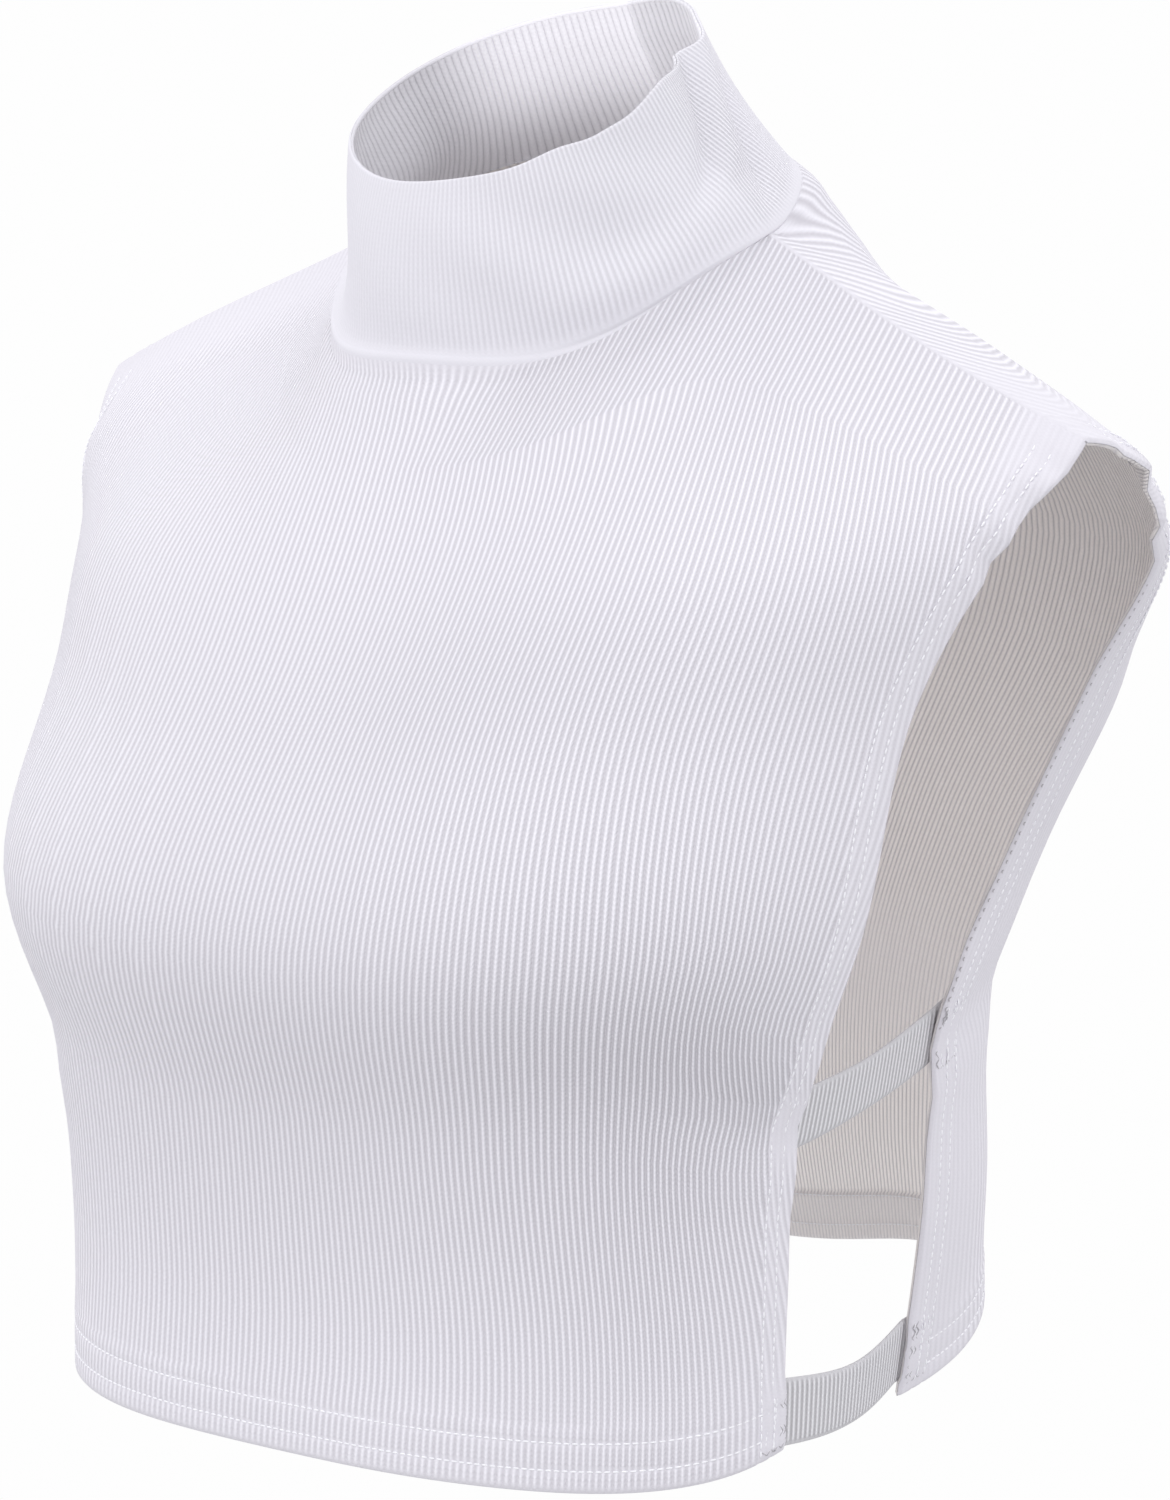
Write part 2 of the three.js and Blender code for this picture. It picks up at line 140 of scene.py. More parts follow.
# %% Sizes of the form, in millimetres
NECK = {
    "half": 73, "middle": 12, "front": 86, "back": 62, "slope": 0.32,  # the seam's sloping oval
    "drop": 15, "dip": 12, "side": 6,  # how far it sinks in front, beside that and at the sides
}
RIM = {"half": 54.5, "middle": -18, "front": 54.5, "back": 54.5, "height": 37.5, "slope": 0.48}
BOW = {"front": 3.5, "side": -2}  # how far the collar's wall stands out from a straight line
SHOULDER = {"x": 188, "y": 12, "z": -63, "sag": 3}
RIGHT_SHOULDER = {"out": 17, "up": 5.5, "from": 0.12, "to": 0.3}  # the wearer's right one is fuller
BACK_LIFT = {"height": 14, "at": 0.45, "width": 0.27, "from": 0.78}  # of the back's bottom edge
LEAVES = {"front": (62, 46), "back": (35, 5)}  # degrees under the level, at the neck and shoulder
CARRY = {"front": 1.0, "back": 2.4}  # how far that direction holds over the shoulder
CUT_COLUMNS = ("middle_z", "edge_z", "half", "middle_y", "edge_y", "square", "wrap", "rise")
CUTS = {
    "front": [
        (-100, -94, 176, -116, -14, 2.2, 74, 0),
        (-150, -142, 162, -142, -40, 2.2, 82, 0),
        (-212, -204, 156, -160, -55, 2.8, 86, 0),
        (-272, -264, 140, -136, -64, 3.0, 88, 1),
        (-330, -322, 138, -126, -68, 2.9, 88, 4),
        (-381, -373, 138, -130, -70, 2.7, 88, 7),
    ],
    "back": [
        (-95, -95, 193, 124, 48, 2.6, 80, 0),
        (-145, -145, 163, 126, 60, 3.4, 90, 0),
        (-205, -205, 138, 114, 52, 3.4, 90, 0),
        (-256, -254, 126, 103, 34, 3.4, 90, 0),
        (-318, -318, 126, 107, 27, 3.4, 90, 0),
        (-370, -380, 119, 122, 26, 3.4, 90, 0),
    ],
}
NECK_SHARE = NECK["half"] / SHOULDER["x"]
EASE = 0.055  # how far the cloth evens out creases below the seams, as a share of the half width

# %% Small helpers
def smooth(x, low, high):
    """0 below low, 1 above high, and a smooth step between."""
    k = np.clip((np.asarray(x, float) - low) / (high - low), 0, 1)
    return k * k * (3 - 2 * k)


def bell(x, middle, width):
    """A bell: 1 at the middle, 0.37 at one width from it."""
    return np.exp(-(((x - middle) / width) ** 2))


def unit(v):
    """Each vector divided by its length."""
    return v / np.maximum(np.linalg.norm(v, axis=-1, keepdims=True), 1e-9)


def xyz(x, y, z):
    """Three arrays as one array of points."""
    return np.stack(np.broadcast_arrays(np.asarray(x, float), y, z), axis=-1)


def bumps(x, rows):
    """The sum of some bells; each row gives a height, a middle and a width."""
    return sum(height * bell(x, middle, width) for height, middle, width in rows)


def cubic(u, start, end, leaves, arrives):
    """The cubic from start (u 0) to end (u 1) that leaves and arrives with those slopes."""
    curve = (2 * u**3 - 3 * u**2 + 1) * start + (u**3 - 2 * u**2 + u) * leaves
    return curve + (3 * u**2 - 2 * u**3) * end + (u**3 - u**2) * arrives


def lengths(path):
    """The length along a path of points, up to each of them."""
    return np.concatenate([[0], np.cumsum(np.linalg.norm(np.diff(path, axis=0), axis=1))])


def read_at(wanted, run, points):
    """Values of a list of points between its places run: each coordinate by straight lines."""
    return xyz(*(np.interp(wanted, run, points[:, i]) for i in range(3)))


# %% [markdown]
# The neck seam is an oval drawn with sine and cosine, sloped to the front, with its front pulled
# down. The top edge of a panel follows that seam and then the shoulder seam. A column of the
# grid meets the neck seam at its own distance from the middle, so the place on the oval is found
# with an arcsine.

# %% The seams
def neck_point(turn_deg):
    """A point of the neck seam: sideways half·sin, forwards reach·cos, sloped, its front lowered."""
    a = np.radians(turn_deg)
    c = np.cos(a)
    reach = np.where(c > 0, -NECK["front"] * c, -NECK["back"] * c)
    low = NECK["side"] * bell(np.abs(turn_deg), 90, 22) + NECK["drop"] * np.maximum(c, 0) ** 4
    low = low + np.where(c > 0, NECK["dip"] * np.sin(2 * a) ** 2, 0)
    return xyz(NECK["half"] * np.sin(a), NECK["middle"] + reach, NECK["slope"] * reach - low)


def neck_turn(side, s):
    """Degrees round the neck seam, from the front's middle, of the rib at the share s."""
    turned = np.degrees(np.arcsin(np.clip(np.abs(s) / NECK_SHARE, 0, 1)))
    return np.where(s < 0, -1, 1) * (turned if side == "front" else 180 - turned)


def top_edge(side, s):
    """The panel's top edge at s: the neck seam up to NECK_SHARE, then the sagging shoulder seam."""
    a = np.abs(s)
    at_neck = neck_point(neck_turn(side, a))
    k = np.clip((a - NECK_SHARE) / (1 - NECK_SHARE), 0, 1)[..., None]
    tip = np.array([SHOULDER["x"], SHOULDER["y"], SHOULDER["z"]], float)
    start = neck_point(90.0)
    seam = start + (tip - start) * k - np.array([0, 0, 1.0]) * SHOULDER["sag"] * np.sin(np.pi * k)
    p = np.where((a < NECK_SHARE)[..., None], at_neck, seam)
    p[..., 0] *= np.where(s < 0, -1, 1)
    return p


# %% [markdown]
# A level cut is a curve between an ellipse and a rectangle. Its points are spread evenly by
# length, so that the columns of the grid keep one spacing round the body. Down each column a
# smooth cubic joins the top edge and the six cuts. That is how a tailor thinks of a panel too: a
# flat cloth with level girths.

# %% The panels' smooth surface
CUT_POINTS, EVEN_POINTS = 961, 241  # along half a cut, before and after they are spread evenly
EDGE_SPREAD = (-0.18, -0.09, 0.0, 0.09, 0.18)  # shares of the width over which the top edge is evened
EASE_STARTS, EASE_ENDS = (1.0, 26.0), (120, 170)  # millimetres below the seam


def level_cut(row):
    """The half cut, evenly spaced: x = half·sin^p, y from edge to middle by cos^p, p = 2/square."""
    cut = dict(zip(CUT_COLUMNS, row))
    u = np.linspace(0, 1, CUT_POINTS)
    wrap, power = np.radians(cut["wrap"]), 2 / cut["square"]
    depth = np.maximum(np.cos(wrap * u), 0) ** power
    depth = (depth - depth[-1]) / (1 - depth[-1])
    p = xyz(
        cut["half"] * (np.sin(wrap * u) / np.sin(wrap)) ** power,
        cut["edge_y"] + (cut["middle_y"] - cut["edge_y"]) * depth,
        cut["middle_z"] + (cut["edge_z"] - cut["middle_z"]) * u**2,
    )
    run = lengths(p)
    return read_at(np.linspace(0, run[-1], EVEN_POINTS), run, p), cut["rise"], run[-1]


LEVELS = {side: [level_cut(row) for row in rows] for side, rows in CUTS.items()}
HALF_WIDTH = {side: float(np.mean([level[2] for level in LEVELS[side]])) for side in LEVELS}
print("half widths of the cloth, mm:", {side: round(w) for side, w in HALF_WIDTH.items()})


def on_level(level, s):
    """A point of a level cut at the share s of the cloth's half width."""
    points, lift, _ = level
    a = np.abs(s)
    p = read_at(a, np.linspace(0, 1, len(points)), points)
    p[..., 0] *= np.where(s < 0, -1, 1)
    p[..., 2] += lift * p[..., 0] / points[-1, 0]
    return p


def panel_knots(side, s):
    """The points that the column at s runs through, their distances and directions.

    The distances and directions come from a top edge that is evened out over EDGE_SPREAD.
    """
    knots = np.stack([top_edge(side, s)] + [on_level(level, s) for level in LEVELS[side]])
    soft = sum(top_edge(side, np.clip(s + shift, -1, 1)) for shift in EDGE_SPREAD) / len(EDGE_SPREAD)
    soft[..., 0] = knots[0][..., 0]
    soft = np.concatenate([soft[None], knots[1:]])
    steps = np.linalg.norm(np.diff(soft, axis=0), axis=-1)
    run = np.concatenate([np.zeros((1,) + steps.shape[1:]), np.cumsum(steps, axis=0)])
    neck_fall, tip_fall = LEAVES[side]
    fall = np.radians(neck_fall + (tip_fall - neck_fall) * smooth(np.abs(s) / NECK_SHARE, 0, 1.15))
    ways = np.empty_like(knots)
    carry = 1 + (CARRY[side] - 1) * smooth(np.abs(s) / NECK_SHARE, 0.7, 1.4)
    ways[0] = xyz(0 * s, (-1 if side == "front" else 1) * carry * np.cos(fall), -carry * np.sin(fall))
    ways[1:-1] = (soft[2:] - soft[:-2]) / (run[2:] - run[:-2])[..., None]
    ways[-1] = (soft[-1] - soft[-2]) / steps[-1][..., None]
    return knots, run, ways


def panel_face(side, s, t):
    """The smooth face at s across and t down: a cubic between the knots, t by length from the seam."""
    s, t = np.broadcast_arrays(np.asarray(s, float), np.asarray(t, float))
    knots, run, ways = panel_knots(side, s)
    want = np.clip(t, 0, 1) * run[-1]
    out = np.zeros(s.shape + (3,))
    for k in range(len(knots) - 1):
        h = run[k + 1] - run[k]
        u = ((want - run[k]) / h)[..., None]
        h = h[..., None]
        curve = cubic(u, knots[k], knots[k + 1], h * ways[k], h * ways[k + 1])
        here = (u >= (0 if k else -1)) & (u <= (1 if k < len(knots) - 2 else 2))
        out = np.where(here, curve, out)
    a = np.abs(s)
    if side == "back":
        lift = bell(a, BACK_LIFT["at"], BACK_LIFT["width"])
        out[..., 2] += BACK_LIFT["height"] * lift * smooth(t, BACK_LIFT["from"], 1)
    k = np.where(s < 0, np.clip((a - NECK_SHARE) / (1 - NECK_SHARE), 0, 1), 0)
    fade = 1 - smooth(t, RIGHT_SHOULDER["from"], RIGHT_SHOULDER["to"])
    out[..., 0] -= RIGHT_SHOULDER["out"] * fade * smooth(k, 0.2, 1)
    out[..., 2] += RIGHT_SHOULDER["up"] * fade * np.sin(np.pi * k)
    return out


def panel_length(side, s):
    """The length of the column at s, in millimetres."""
    return panel_knots(side, np.asarray(s, float))[1][-1]


def ease(base, s_line, from_top):
    """Blend each point with its neighbours on the row, by bell weights that widen below the seam.

    base is rows x columns x 3. The bell's width at a point is a share of the half width, at most
    EASE, less near the seam and near the sides, so that the edges stay where they are.
    """
    room = np.minimum(1, (1 - np.abs(s_line)) / 0.16)
    out = np.empty_like(base)
    for row in range(len(base)):  # one matrix of weights per row of the grid
        down = from_top[row]
        width = EASE * smooth(down, *EASE_STARTS) * (1 - smooth(down, *EASE_ENDS)) * room + 1e-5
        weights = np.exp(-0.5 * ((s_line[:, None] - s_line[None, :]) / width[:, None]) ** 2)
        out[row] = (weights / weights.sum(1, keepdims=True)) @ base[row]
    return out


def grid_outward(side, base):
    """The outward direction on a grid: the cross product of its steps across and down."""
    normal = unit(np.cross(np.gradient(base, axis=0), np.gradient(base, axis=1)))
    return normal * (1 if side == "front" else -1)


def panel_outward(side, s, t):
    """The outward direction: the cross product of the steps across and down the face."""
    d = 0.003
    across = panel_face(side, np.minimum(s + d, 1), t) - panel_face(side, np.maximum(s - d, -1), t)
    down = panel_face(side, s, np.minimum(t + d, 1)) - panel_face(side, s, np.maximum(t - d, 0))
    return unit(np.cross(down, across)) * (1 if side == "front" else -1)


# %% [markdown]
# Cloth is never quite smooth. A few soft folds are added as heights over the smooth face: the
# pull of the upper strap, the lump that each strap's end makes in the hem, the gathered armhole
# hem at the shoulder, the dent under the bust, and a slow wandering of the whole cloth. Beside the
# neck seam both pieces swell over its seam allowance.

# %% Soft folds
UPPER = {"width": 19, "front_share": 0.695, "back_share": 0.666, "out": 1.5, "sag": 0.5}
LOWER = {"width": 22, "front_share": 0.968, "back_share": 0.958, "out": 4, "sag": 3.5}
STRAP_PULL = 0.85  # how straight a strap leaves its hem: 1 is along the shortest line
PULL_WAVES = ((1.6, 20, 11), (-1.5, 2, 9), (1.2, -22, 14))  # height, place by the upper strap, width
PULL_FADES = 45  # millimetres inland
LUMP = 0.9  # millimetres
GATHER, GATHER_WAVES = 1.6, 17  # millimetres, and waves down the whole length
DENTS = ((-4.2, 0.60, 0.085, 0.6, 0.3), (1.2, 0.42, 0.07, 0.5, 0.25))  # height, t, width, s, width
DENT_SLANT = 0.14  # how far down a dent moves, in t for each unit of s
SEAM_ROLL = ((2.2, 1.2, 3.0), (-0.6, 8, 3.5))  # height, millimetres below the seam, width
LOW_ROLL = 0.12  # its share at the wearer's left and behind
RIB_PULL = ((5.2, -2, 14), (-3.0, -36, 15))  # millimetres, place by the upper strap, width


def wander(a, b, seed):
    """A slow wave of height about 1, the sum of four slanting sines."""
    rng = np.random.default_rng(seed)
    total = 0
    for _ in range(4):
        fa, fb, phase = rng.uniform(0.6, 2.6), rng.uniform(0.6, 2.6), rng.uniform(0, 6.3)
        total = total + np.sin(fa * a + fb * b + phase)
    return total / 2.5


def panel_folds(side, s, t):
    """Heights of the soft folds over the smooth face, in millimetres: bells, steps and sines."""
    a = np.abs(s)
    width, length = HALF_WIDTH[side], panel_length(side, 0.5)
    inland = (1 - a) * width
    height = 0.5 * wander(4 * s, 5 * t, 11 if side == "front" else 12) * smooth(t, 0.04, 0.2)
    off = (t - UPPER[f"{side}_share"]) * length
    height = height + np.exp(-inland / PULL_FADES) * bumps(off, PULL_WAVES)
    for strap in (UPPER, LOWER):  # the strap's end is a lump in the hem
        off = (t - strap[f"{side}_share"]) * length
        lump = smooth(off, -13, -9) * (1 - smooth(off, 9, 13))
        height = height + LUMP * lump * (1 - smooth(inland, 11, 15))
    gather = smooth(s, 0.88, 1) * smooth(t, 0.015, 0.05) * (1 - smooth(t, 0.15, 0.22))
    height = height + gather * GATHER * np.sin(2 * np.pi * (t * GATHER_WAVES + 0.1))
    if side == "front":  # under the bust the cloth falls in towards the upper strap
        for high, at_t, tall, at_s, wide in DENTS:
            height = height + high * bell(t - DENT_SLANT * s, at_t, tall) * bell(s, at_s, wide)
    hang = smooth(t, 0.9, 1.0) * 0.7 * np.sin(9 * s + (0.5 if side == "front" else 2.0))
    return height + hang


def seam_roll(turn_deg, along):
    """The roll over the neck seam, by distance from it (positive on the panel): a ridge, then a dip.

    It is full at the front and at the wearer's right, and LOW_ROLL of that at the left and behind.
    """
    share = (1 - smooth(turn_deg, 5, 60)) * smooth(turn_deg, -140, -100)
    return (LOW_ROLL + (1 - LOW_ROLL) * share) * bumps(along, SEAM_ROLL)


def seam_way(turn_deg, along, way):
    """Near the neck seam both pieces swell in one direction, outward and up; further off, along way."""
    a = np.radians(turn_deg)
    shared = unit(xyz(0.75 * np.sin(a), -0.75 * np.cos(a), 0 * a + 0.66))
    near = bell(along, 0, 7)[..., None]
    return unit(way * (1 - near) + shared * near)


def rib_drift(side, s, t):
    """How far the ribs are pulled towards the upper strap, as a share of the half width."""
    off = (t - UPPER[f"{side}_share"]) * panel_length(side, 0.5)
    inland = (1 - np.abs(s)) * HALF_WIDTH[side]
    return bumps(off, RIB_PULL) * bell(inland, 26, 30) * np.sign(s) / HALF_WIDTH[side]


# %% [markdown]
# A rib is one column of loops, and the cloth was cut with its ribs upright and then pulled to
# shape. So the ribs do not follow the grid's columns: over the chest more of them lie side by
# side than at the hem, and the rest run off at the armholes. Over the left shoulder they run
# straight and side by side, from the neck down to the armhole. rib_number says which rib passes
# through a place, as a number that grows by one from rib to rib. It goes into the UV map, and the
# material draws one rounded cord for each whole number.

# %% Which rib is where
RIBS = {"front": 81, "back": 84}  # ribs on half a panel, before the pull
INSIDE_SHARE = 1.04  # ribs of the wrong side for each rib of the right side
TOP_LEVEL = 0.12  # above this share of the length, the shoulders have their own lie of the ribs
RIB_SLANT = {  # over the left shoulder, ribs per millimetre of x, y and z
    "front": (0.456, 0.279, -0.278),
    "back": (-0.037, -0.172, -0.616),
}


def ramp(x, middle, width):
    """The integral of a bump: width·tanh((x - middle)/width)."""
    return width * np.tanh((x - middle) / width)


def straight_share(s, x, level):
    """The share of the column that has, at the row level, the same x as each place of the grid.

    The columns leave the neck like rays, but the ribs there keep their x.
    """
    line = x[level]
    past = (s[level, -1] - s[level, -2]) / (line[-1] - line[-2])
    return np.interp(x, line, s[level]) + (x - np.clip(x, line[0], line[-1])) * past


def back_ribs(s, t, lie):
    """RIBS times s, leaning in below; over the left shoulder the number follows the slant lie."""
    number = RIBS["back"] * (s - rib_drift("back", s, t))
    number = number + 34 * np.maximum(t - 0.42, 0) * bell(s, 0.45, 0.4)
    corner = np.argmin(np.abs(s[0] - NECK_SHARE))
    share = (1 - smooth(t, 0.02, 0.17)) * smooth(s, 0.36, 0.6)
    return number + (lie - lie[1, corner] + number[1, corner] - number) * share


def front_ribs(s, t, lie, x):
    """RIBS times s, with ramps that make the ribs denser at the chest and fewer at the hem.

    Above TOP_LEVEL the right shoulder's ribs keep their x. Those of the left shoulder keep their
    number at that level and grow along the slant lie.
    """
    level = np.argmin(np.abs(t[:, 0] - TOP_LEVEL))
    above, left = t < t[level, 0], smooth(s, 0, 0.2)
    lie = np.where(above, lie - lie[level], 0)
    straight = np.where(above, straight_share(s, x, level), s)
    s = straight + (s - straight) * left - rib_drift("front", s, t)
    t = np.where(above, t + (t[level, 0] - t) * left, t)
    chest = 34 * ramp(s, 0.33, 0.25) * bell(t, 0.2, 0.3) + 12 * ramp(s, -0.2, 0.2) * bell(t, 0.4, 0.3)
    waist = 21 * ramp(s, 0.72, 0.17) * smooth(t, 0.35, 0.6) - 15 * s * smooth(t, 0.5, 0.95)
    edges = 10 * ramp(s, -0.5, 0.25) * bell(t, 0, 0.25) - 16 * ramp(s, 1, 0.15)
    slide = 11 * smooth(t, 0.3, 0.85) - 3 * bell(t, 0.25, 0.17)
    slide = slide + 75 * np.maximum(0.4 - t, 0) ** 2 * smooth(s, 0.0, 0.6)  # steeper at the left
    return RIBS["front"] * s + chest + waist + edges + slide + lie * left


def rib_number(side, s, t, face):
    """Ribs counted from the middle of the panel, on its grid s, t and face."""
    lie = face @ np.array(RIB_SLANT[side])
    return back_ribs(s, t, lie) if side == "back" else front_ribs(s, t, lie, face[..., 0])


# %% [markdown]
# Each panel is a grid of points on its outer face and the matching grid on its inner face. At the
# hems the wall is double, and at every edge the two faces close on each other in a half circle.
# Rows of the grid stand where the stitches run, so that the cloth can dip there.

# %% Hems and rolled edges
GRID_COLUMNS = 270  # on half a panel
WALL, HEM_WALL = 1.3, 2.7
HEM_OUT = 0.35  # how far a hem's thicker wall stands out
BOTTOM_HEM, SIDE_HEM = 20, 15
STITCH_ROWS_BOTTOM, STITCH_ROWS_SIDE = (7.0, 15.5), (7.6, 13.4)
STITCH_DEPTH = 0.3  # how far a row of stitches pulls the cloth in
ROWS_TOP = (0, 0.5, 1.2, 2.4, 4.5, 7.5, 11, 15.5, 20.5)  # the grid's rows, from the seam
ROWS_HEM = (22, 20.6, 20, 17.6, 16.1, 15.5, 14.9, 13.2, 9.4, 7.6, 7, 6.4, 4.6, 2.2, 0.8, 0.3, 0)
ROWS_BETWEEN = 42
RIB_LONG, ROW_PITCH = 385, 1.5  # a rib's length and its pitch of stitches, for the UV map


def roll(distance, radius):
    """How far a face falls back near an edge so that it closes in a half circle."""
    near = np.clip(radius - distance, 0, radius)
    return np.minimum(radius - np.sqrt(radius**2 - near**2), radius - 0.12)


def grid_faces(rows, columns, first, flipped, closed=False):
    """The four-cornered faces of a grid of points, row by row."""
    last = columns if closed else columns - 1
    i, j = np.meshgrid(np.arange(rows - 1), np.arange(last), indexing="ij")
    k = (j + 1) % columns
    above, below = i * columns, (i + 1) * columns
    quads = np.stack([above + j, below + j, below + k, above + k], -1).reshape(-1, 4) + first
    return quads[:, ::-1] if flipped else quads


def said(piece):
    """The piece, after a line that says how large its mesh is."""
    print(f"{piece.name}: {len(piece.data.vertices)} points, {len(piece.data.polygons)} faces")
    return piece


def put_mesh(name, points_mm, quads, uv=None, around=None, **marks):
    """A smooth mesh from points in millimetres and quads, with a UV map and one number per point.

    around: for a closed tube, the ribs on the whole way round; where a face spans the start of the
    count, its small rib numbers get that many added.
    """
    mesh = bpy.data.meshes.new(name)
    points = np.ascontiguousarray(points_mm.reshape(-1, 3) * 0.001, dtype=np.float32)
    quads = np.ascontiguousarray(quads, dtype=np.int32)
    mesh.vertices.add(len(points))
    mesh.vertices.foreach_set("co", points.ravel())
    mesh.loops.add(quads.size)
    mesh.loops.foreach_set("vertex_index", quads.ravel())
    mesh.polygons.add(len(quads))
    mesh.polygons.foreach_set("loop_start", np.arange(0, quads.size, 4, dtype=np.int32))
    mesh.update(calc_edges=True)
    mesh.polygons.foreach_set("use_smooth", np.ones(len(quads), dtype=bool))
    if uv is not None:
        corners = uv.reshape(-1, 2)[quads]
        if around is not None:
            u, whole = corners[..., 0], around.ravel()[quads]
            corners[..., 0] = u + whole * (u.max(1, keepdims=True) - u > whole / 2)
        layer = mesh.uv_layers.new(name="cloth")
        layer.data.foreach_set("uv", corners.astype(np.float32).ravel())
    for mark, values in marks.items():
        attribute = mesh.attributes.new(mark, "FLOAT", "POINT")
        attribute.data.foreach_set("value", np.ascontiguousarray(values, dtype=np.float32).ravel())
    mesh.validate()
    return said(added(name, mesh)) if uv is not None else added(name, mesh)


def panel_rows(side):
    """Values of t: close together at the seam and in the bottom hem, wider apart between."""
    length = float(panel_length(side, 0.5))
    top, hem = np.array(ROWS_TOP) / length, 1 - np.array(ROWS_HEM) / length
    return np.concatenate([top, np.linspace(top[-1], hem[0], ROWS_BETWEEN + 2)[1:-1], hem])


def panel_relief(side, s, t, length, far, pressed, seam, hemmed):
    """How deep the ribs are on both faces, in bump and in painted valley shade: 1, less the shares of
    flatter where each applies.

    far holds the distances from the top, side and bottom edges.
    """
    band = 1 - smooth(far["side"], SIDE_HEM - 1.5, SIDE_HEM)
    flatter = [(0.5, pressed), (0.45, band)]
    if side == "back":  # behind, the cloth is stretched smooth beside its hem
        flatter.append((0.75, 1 - smooth(far["side"], 24, 60)))
    for strap in (UPPER, LOWER):
        off = np.abs(t - strap[f"{side}_share"]) * length
        flatter.append((0.85, (1 - smooth(off, 9, 12)) * band))
    if side == "front":
        flatter += [
            (-0.6, bell(t, 0.66, 0.16) * smooth(s, 0.1, 0.6)),  # deeper by the left waist
            (0.75, (1 - smooth(far["top"], 10, 42)) * (1 - smooth(s, -0.5, -0.3))),  # far shoulder
            (0.6, 1 - smooth(s, -0.97, -0.84)),  # far edge
            (0.8, (1 - smooth(t, 0.03, 0.14)) * smooth(s, 0.86, 0.92)),  # tip of the left shoulder
        ]
    outer = smooth(far["top"], 0, 1.2 + 6.5 * seam) * smooth(far["bottom"], 0, 3)
    for share, where in flatter:
        outer = outer * (1 - share * where)
    worn = bell(t, 0.72, 0.06) * bell(s, 0.35, 0.3)  # a faint spot on the wrong side
    # on the wrong side the double hem's flatter ribs also make it darker: painted shade, for less light
    # coming through the double cloth
    return np.stack([outer, (1 - 0.4 * hemmed) * (1 - 0.45 * worn)])


def make_panel(side, name):
    """The front or back: face, folds and the roll at the neck outside; the same less the wall inside."""
    s_line = np.arange(-GRID_COLUMNS, GRID_COLUMNS + 1) / GRID_COLUMNS
    s, t = np.meshgrid(s_line, panel_rows(side))
    length = panel_length(side, s)
    face = ease(panel_face(side, s, t), s_line, t * length)
    neck = 1 - smooth(np.abs(s_line), NECK_SHARE * 0.9, NECK_SHARE * 1.02)
    tuck = 0.05 + 1.0 * neck  # the top edge runs on under the collar
    face = np.concatenate([[face[0] - unit(face[2] - face[0]) * tuck[:, None]], face])
    s, t, length = (np.concatenate([a[:1], a]) for a in (s, t, length))
    far = {"top": t * length, "side": (1 - np.abs(s)) * HALF_WIDTH[side], "bottom": (1 - t) * length}
    far["top"][0] = -tuck
    out = grid_outward(side, face)
    turned = neck_turn(side, s)
    swell = unit(out * (1 - neck[:, None]) + seam_way(turned, far["top"], out) * neck[:, None])
    single = smooth(far["side"], SIDE_HEM, SIDE_HEM + 1.2)
    hemmed = 1 - single * smooth(far["bottom"], BOTTOM_HEM, BOTTOM_HEM + 0.6)
    thick = WALL + (HEM_WALL - WALL) * hemmed
    rolled = roll(np.minimum(far["side"], far["bottom"]), thick / 2)
    rolled = rolled + roll(far["top"] + 9 * neck, WALL / 2)
    rows = sum(bell(far["bottom"], d, 0.8) for d in STITCH_ROWS_BOTTOM)
    rows = rows + sum(bell(far["side"], d, 0.9) for d in STITCH_ROWS_SIDE)
    folds = panel_folds(side, s, t) + HEM_OUT * hemmed
    base = face + swell * (seam_roll(turned, far["top"]) * neck)[..., None]
    outer = base + out * (folds - STITCH_DEPTH * rows - rolled)[..., None]
    inner = base + out * (folds - thick + rolled)[..., None]
    n_rows, n_columns = s.shape
    index, flipped = np.arange(s.size).reshape(n_rows, n_columns), side == "back"
    edge = np.concatenate([index[0], index[1:, -1], index[-1, -2::-1], index[-2:0:-1, 0]])
    following = np.roll(edge, -1)
    rim = np.stack([edge, following, following + s.size, edge + s.size], -1)
    quads = np.concatenate([
        grid_faces(n_rows, n_columns, 0, flipped),
        grid_faces(n_rows, n_columns, s.size, not flipped),
        rim[:, ::-1] if flipped else rim,
    ])
    number, down = rib_number(side, s, t, face), t * RIB_LONG / ROW_PITCH
    uv = np.stack([np.stack([number * share, down], -1) for share in (1, INSIDE_SHARE)])
    seam = smooth(seam_roll(turned, 1.2), 0.6, 2.0) * neck
    relief = panel_relief(side, s, t, length, far, np.clip(rows, 0, 1), seam, hemmed)
    inside = np.stack([np.zeros_like(s), np.ones_like(s)])
    # painted light: the wrong side emits a little, more down the panel and less in the double hem,
    # standing for light that comes through the cloth
    through = inside * 0.6 * smooth(t, 0.24, 0.55) * (1 - 0.8 * hemmed)
    return put_mesh(
        name, np.stack([outer, inner]), quads, uv, relief=relief, inside=inside, through=through
    )


front_panel = make_panel("front", "front_cloth")
back_panel = make_panel("back", "back_cloth")

# %% [markdown]
# The collar is a tube of double cloth. Its outline round the neck goes from the neck seam to the
# rim, and its wall is a closed loop: a narrow skirt that lies on the panels, up the outside, over
# the rolled top edge, and down the inside. At the wearer's left the rim waves, and two soft creases
# run from there down towards the shoulder seam.

# %% Collar
COLLAR_WALL, COLLAR_THINNER = 2.8, 1.0  # and how much thinner it is at the rim
COLLAR_RIBS, COLLAR_RIBS_INSIDE = 236, 144
COLLAR_COLUMNS, COLLAR_HEIGHT = 400, 48.0
WALL_ROWS = np.concatenate([[0.01, 0.03, 0.05, 0.07, 0.09], np.linspace(0.12, 0.982, 27)])
SKIRT_ROWS = np.array([1.0, 0.8, 0.6, 0.4, 0.2, 0.05])  # shares of the skirt's width
ROLL_ANGLES = np.radians([15, 35, 55, 75, 90, 105, 125, 145, 165])
RIM_WAVES = ((4.2, 89, 13), (2.3, 48, 11), (0.8, 66, 6), (4.2, 157, 20))  # height, degrees, width
RIM_WIDTHS = ((2.0, 280, 45), (-3.8, 107, 17), (2.4, 150, 13))
LAP = 0.16  # how far the collar lies over the panels


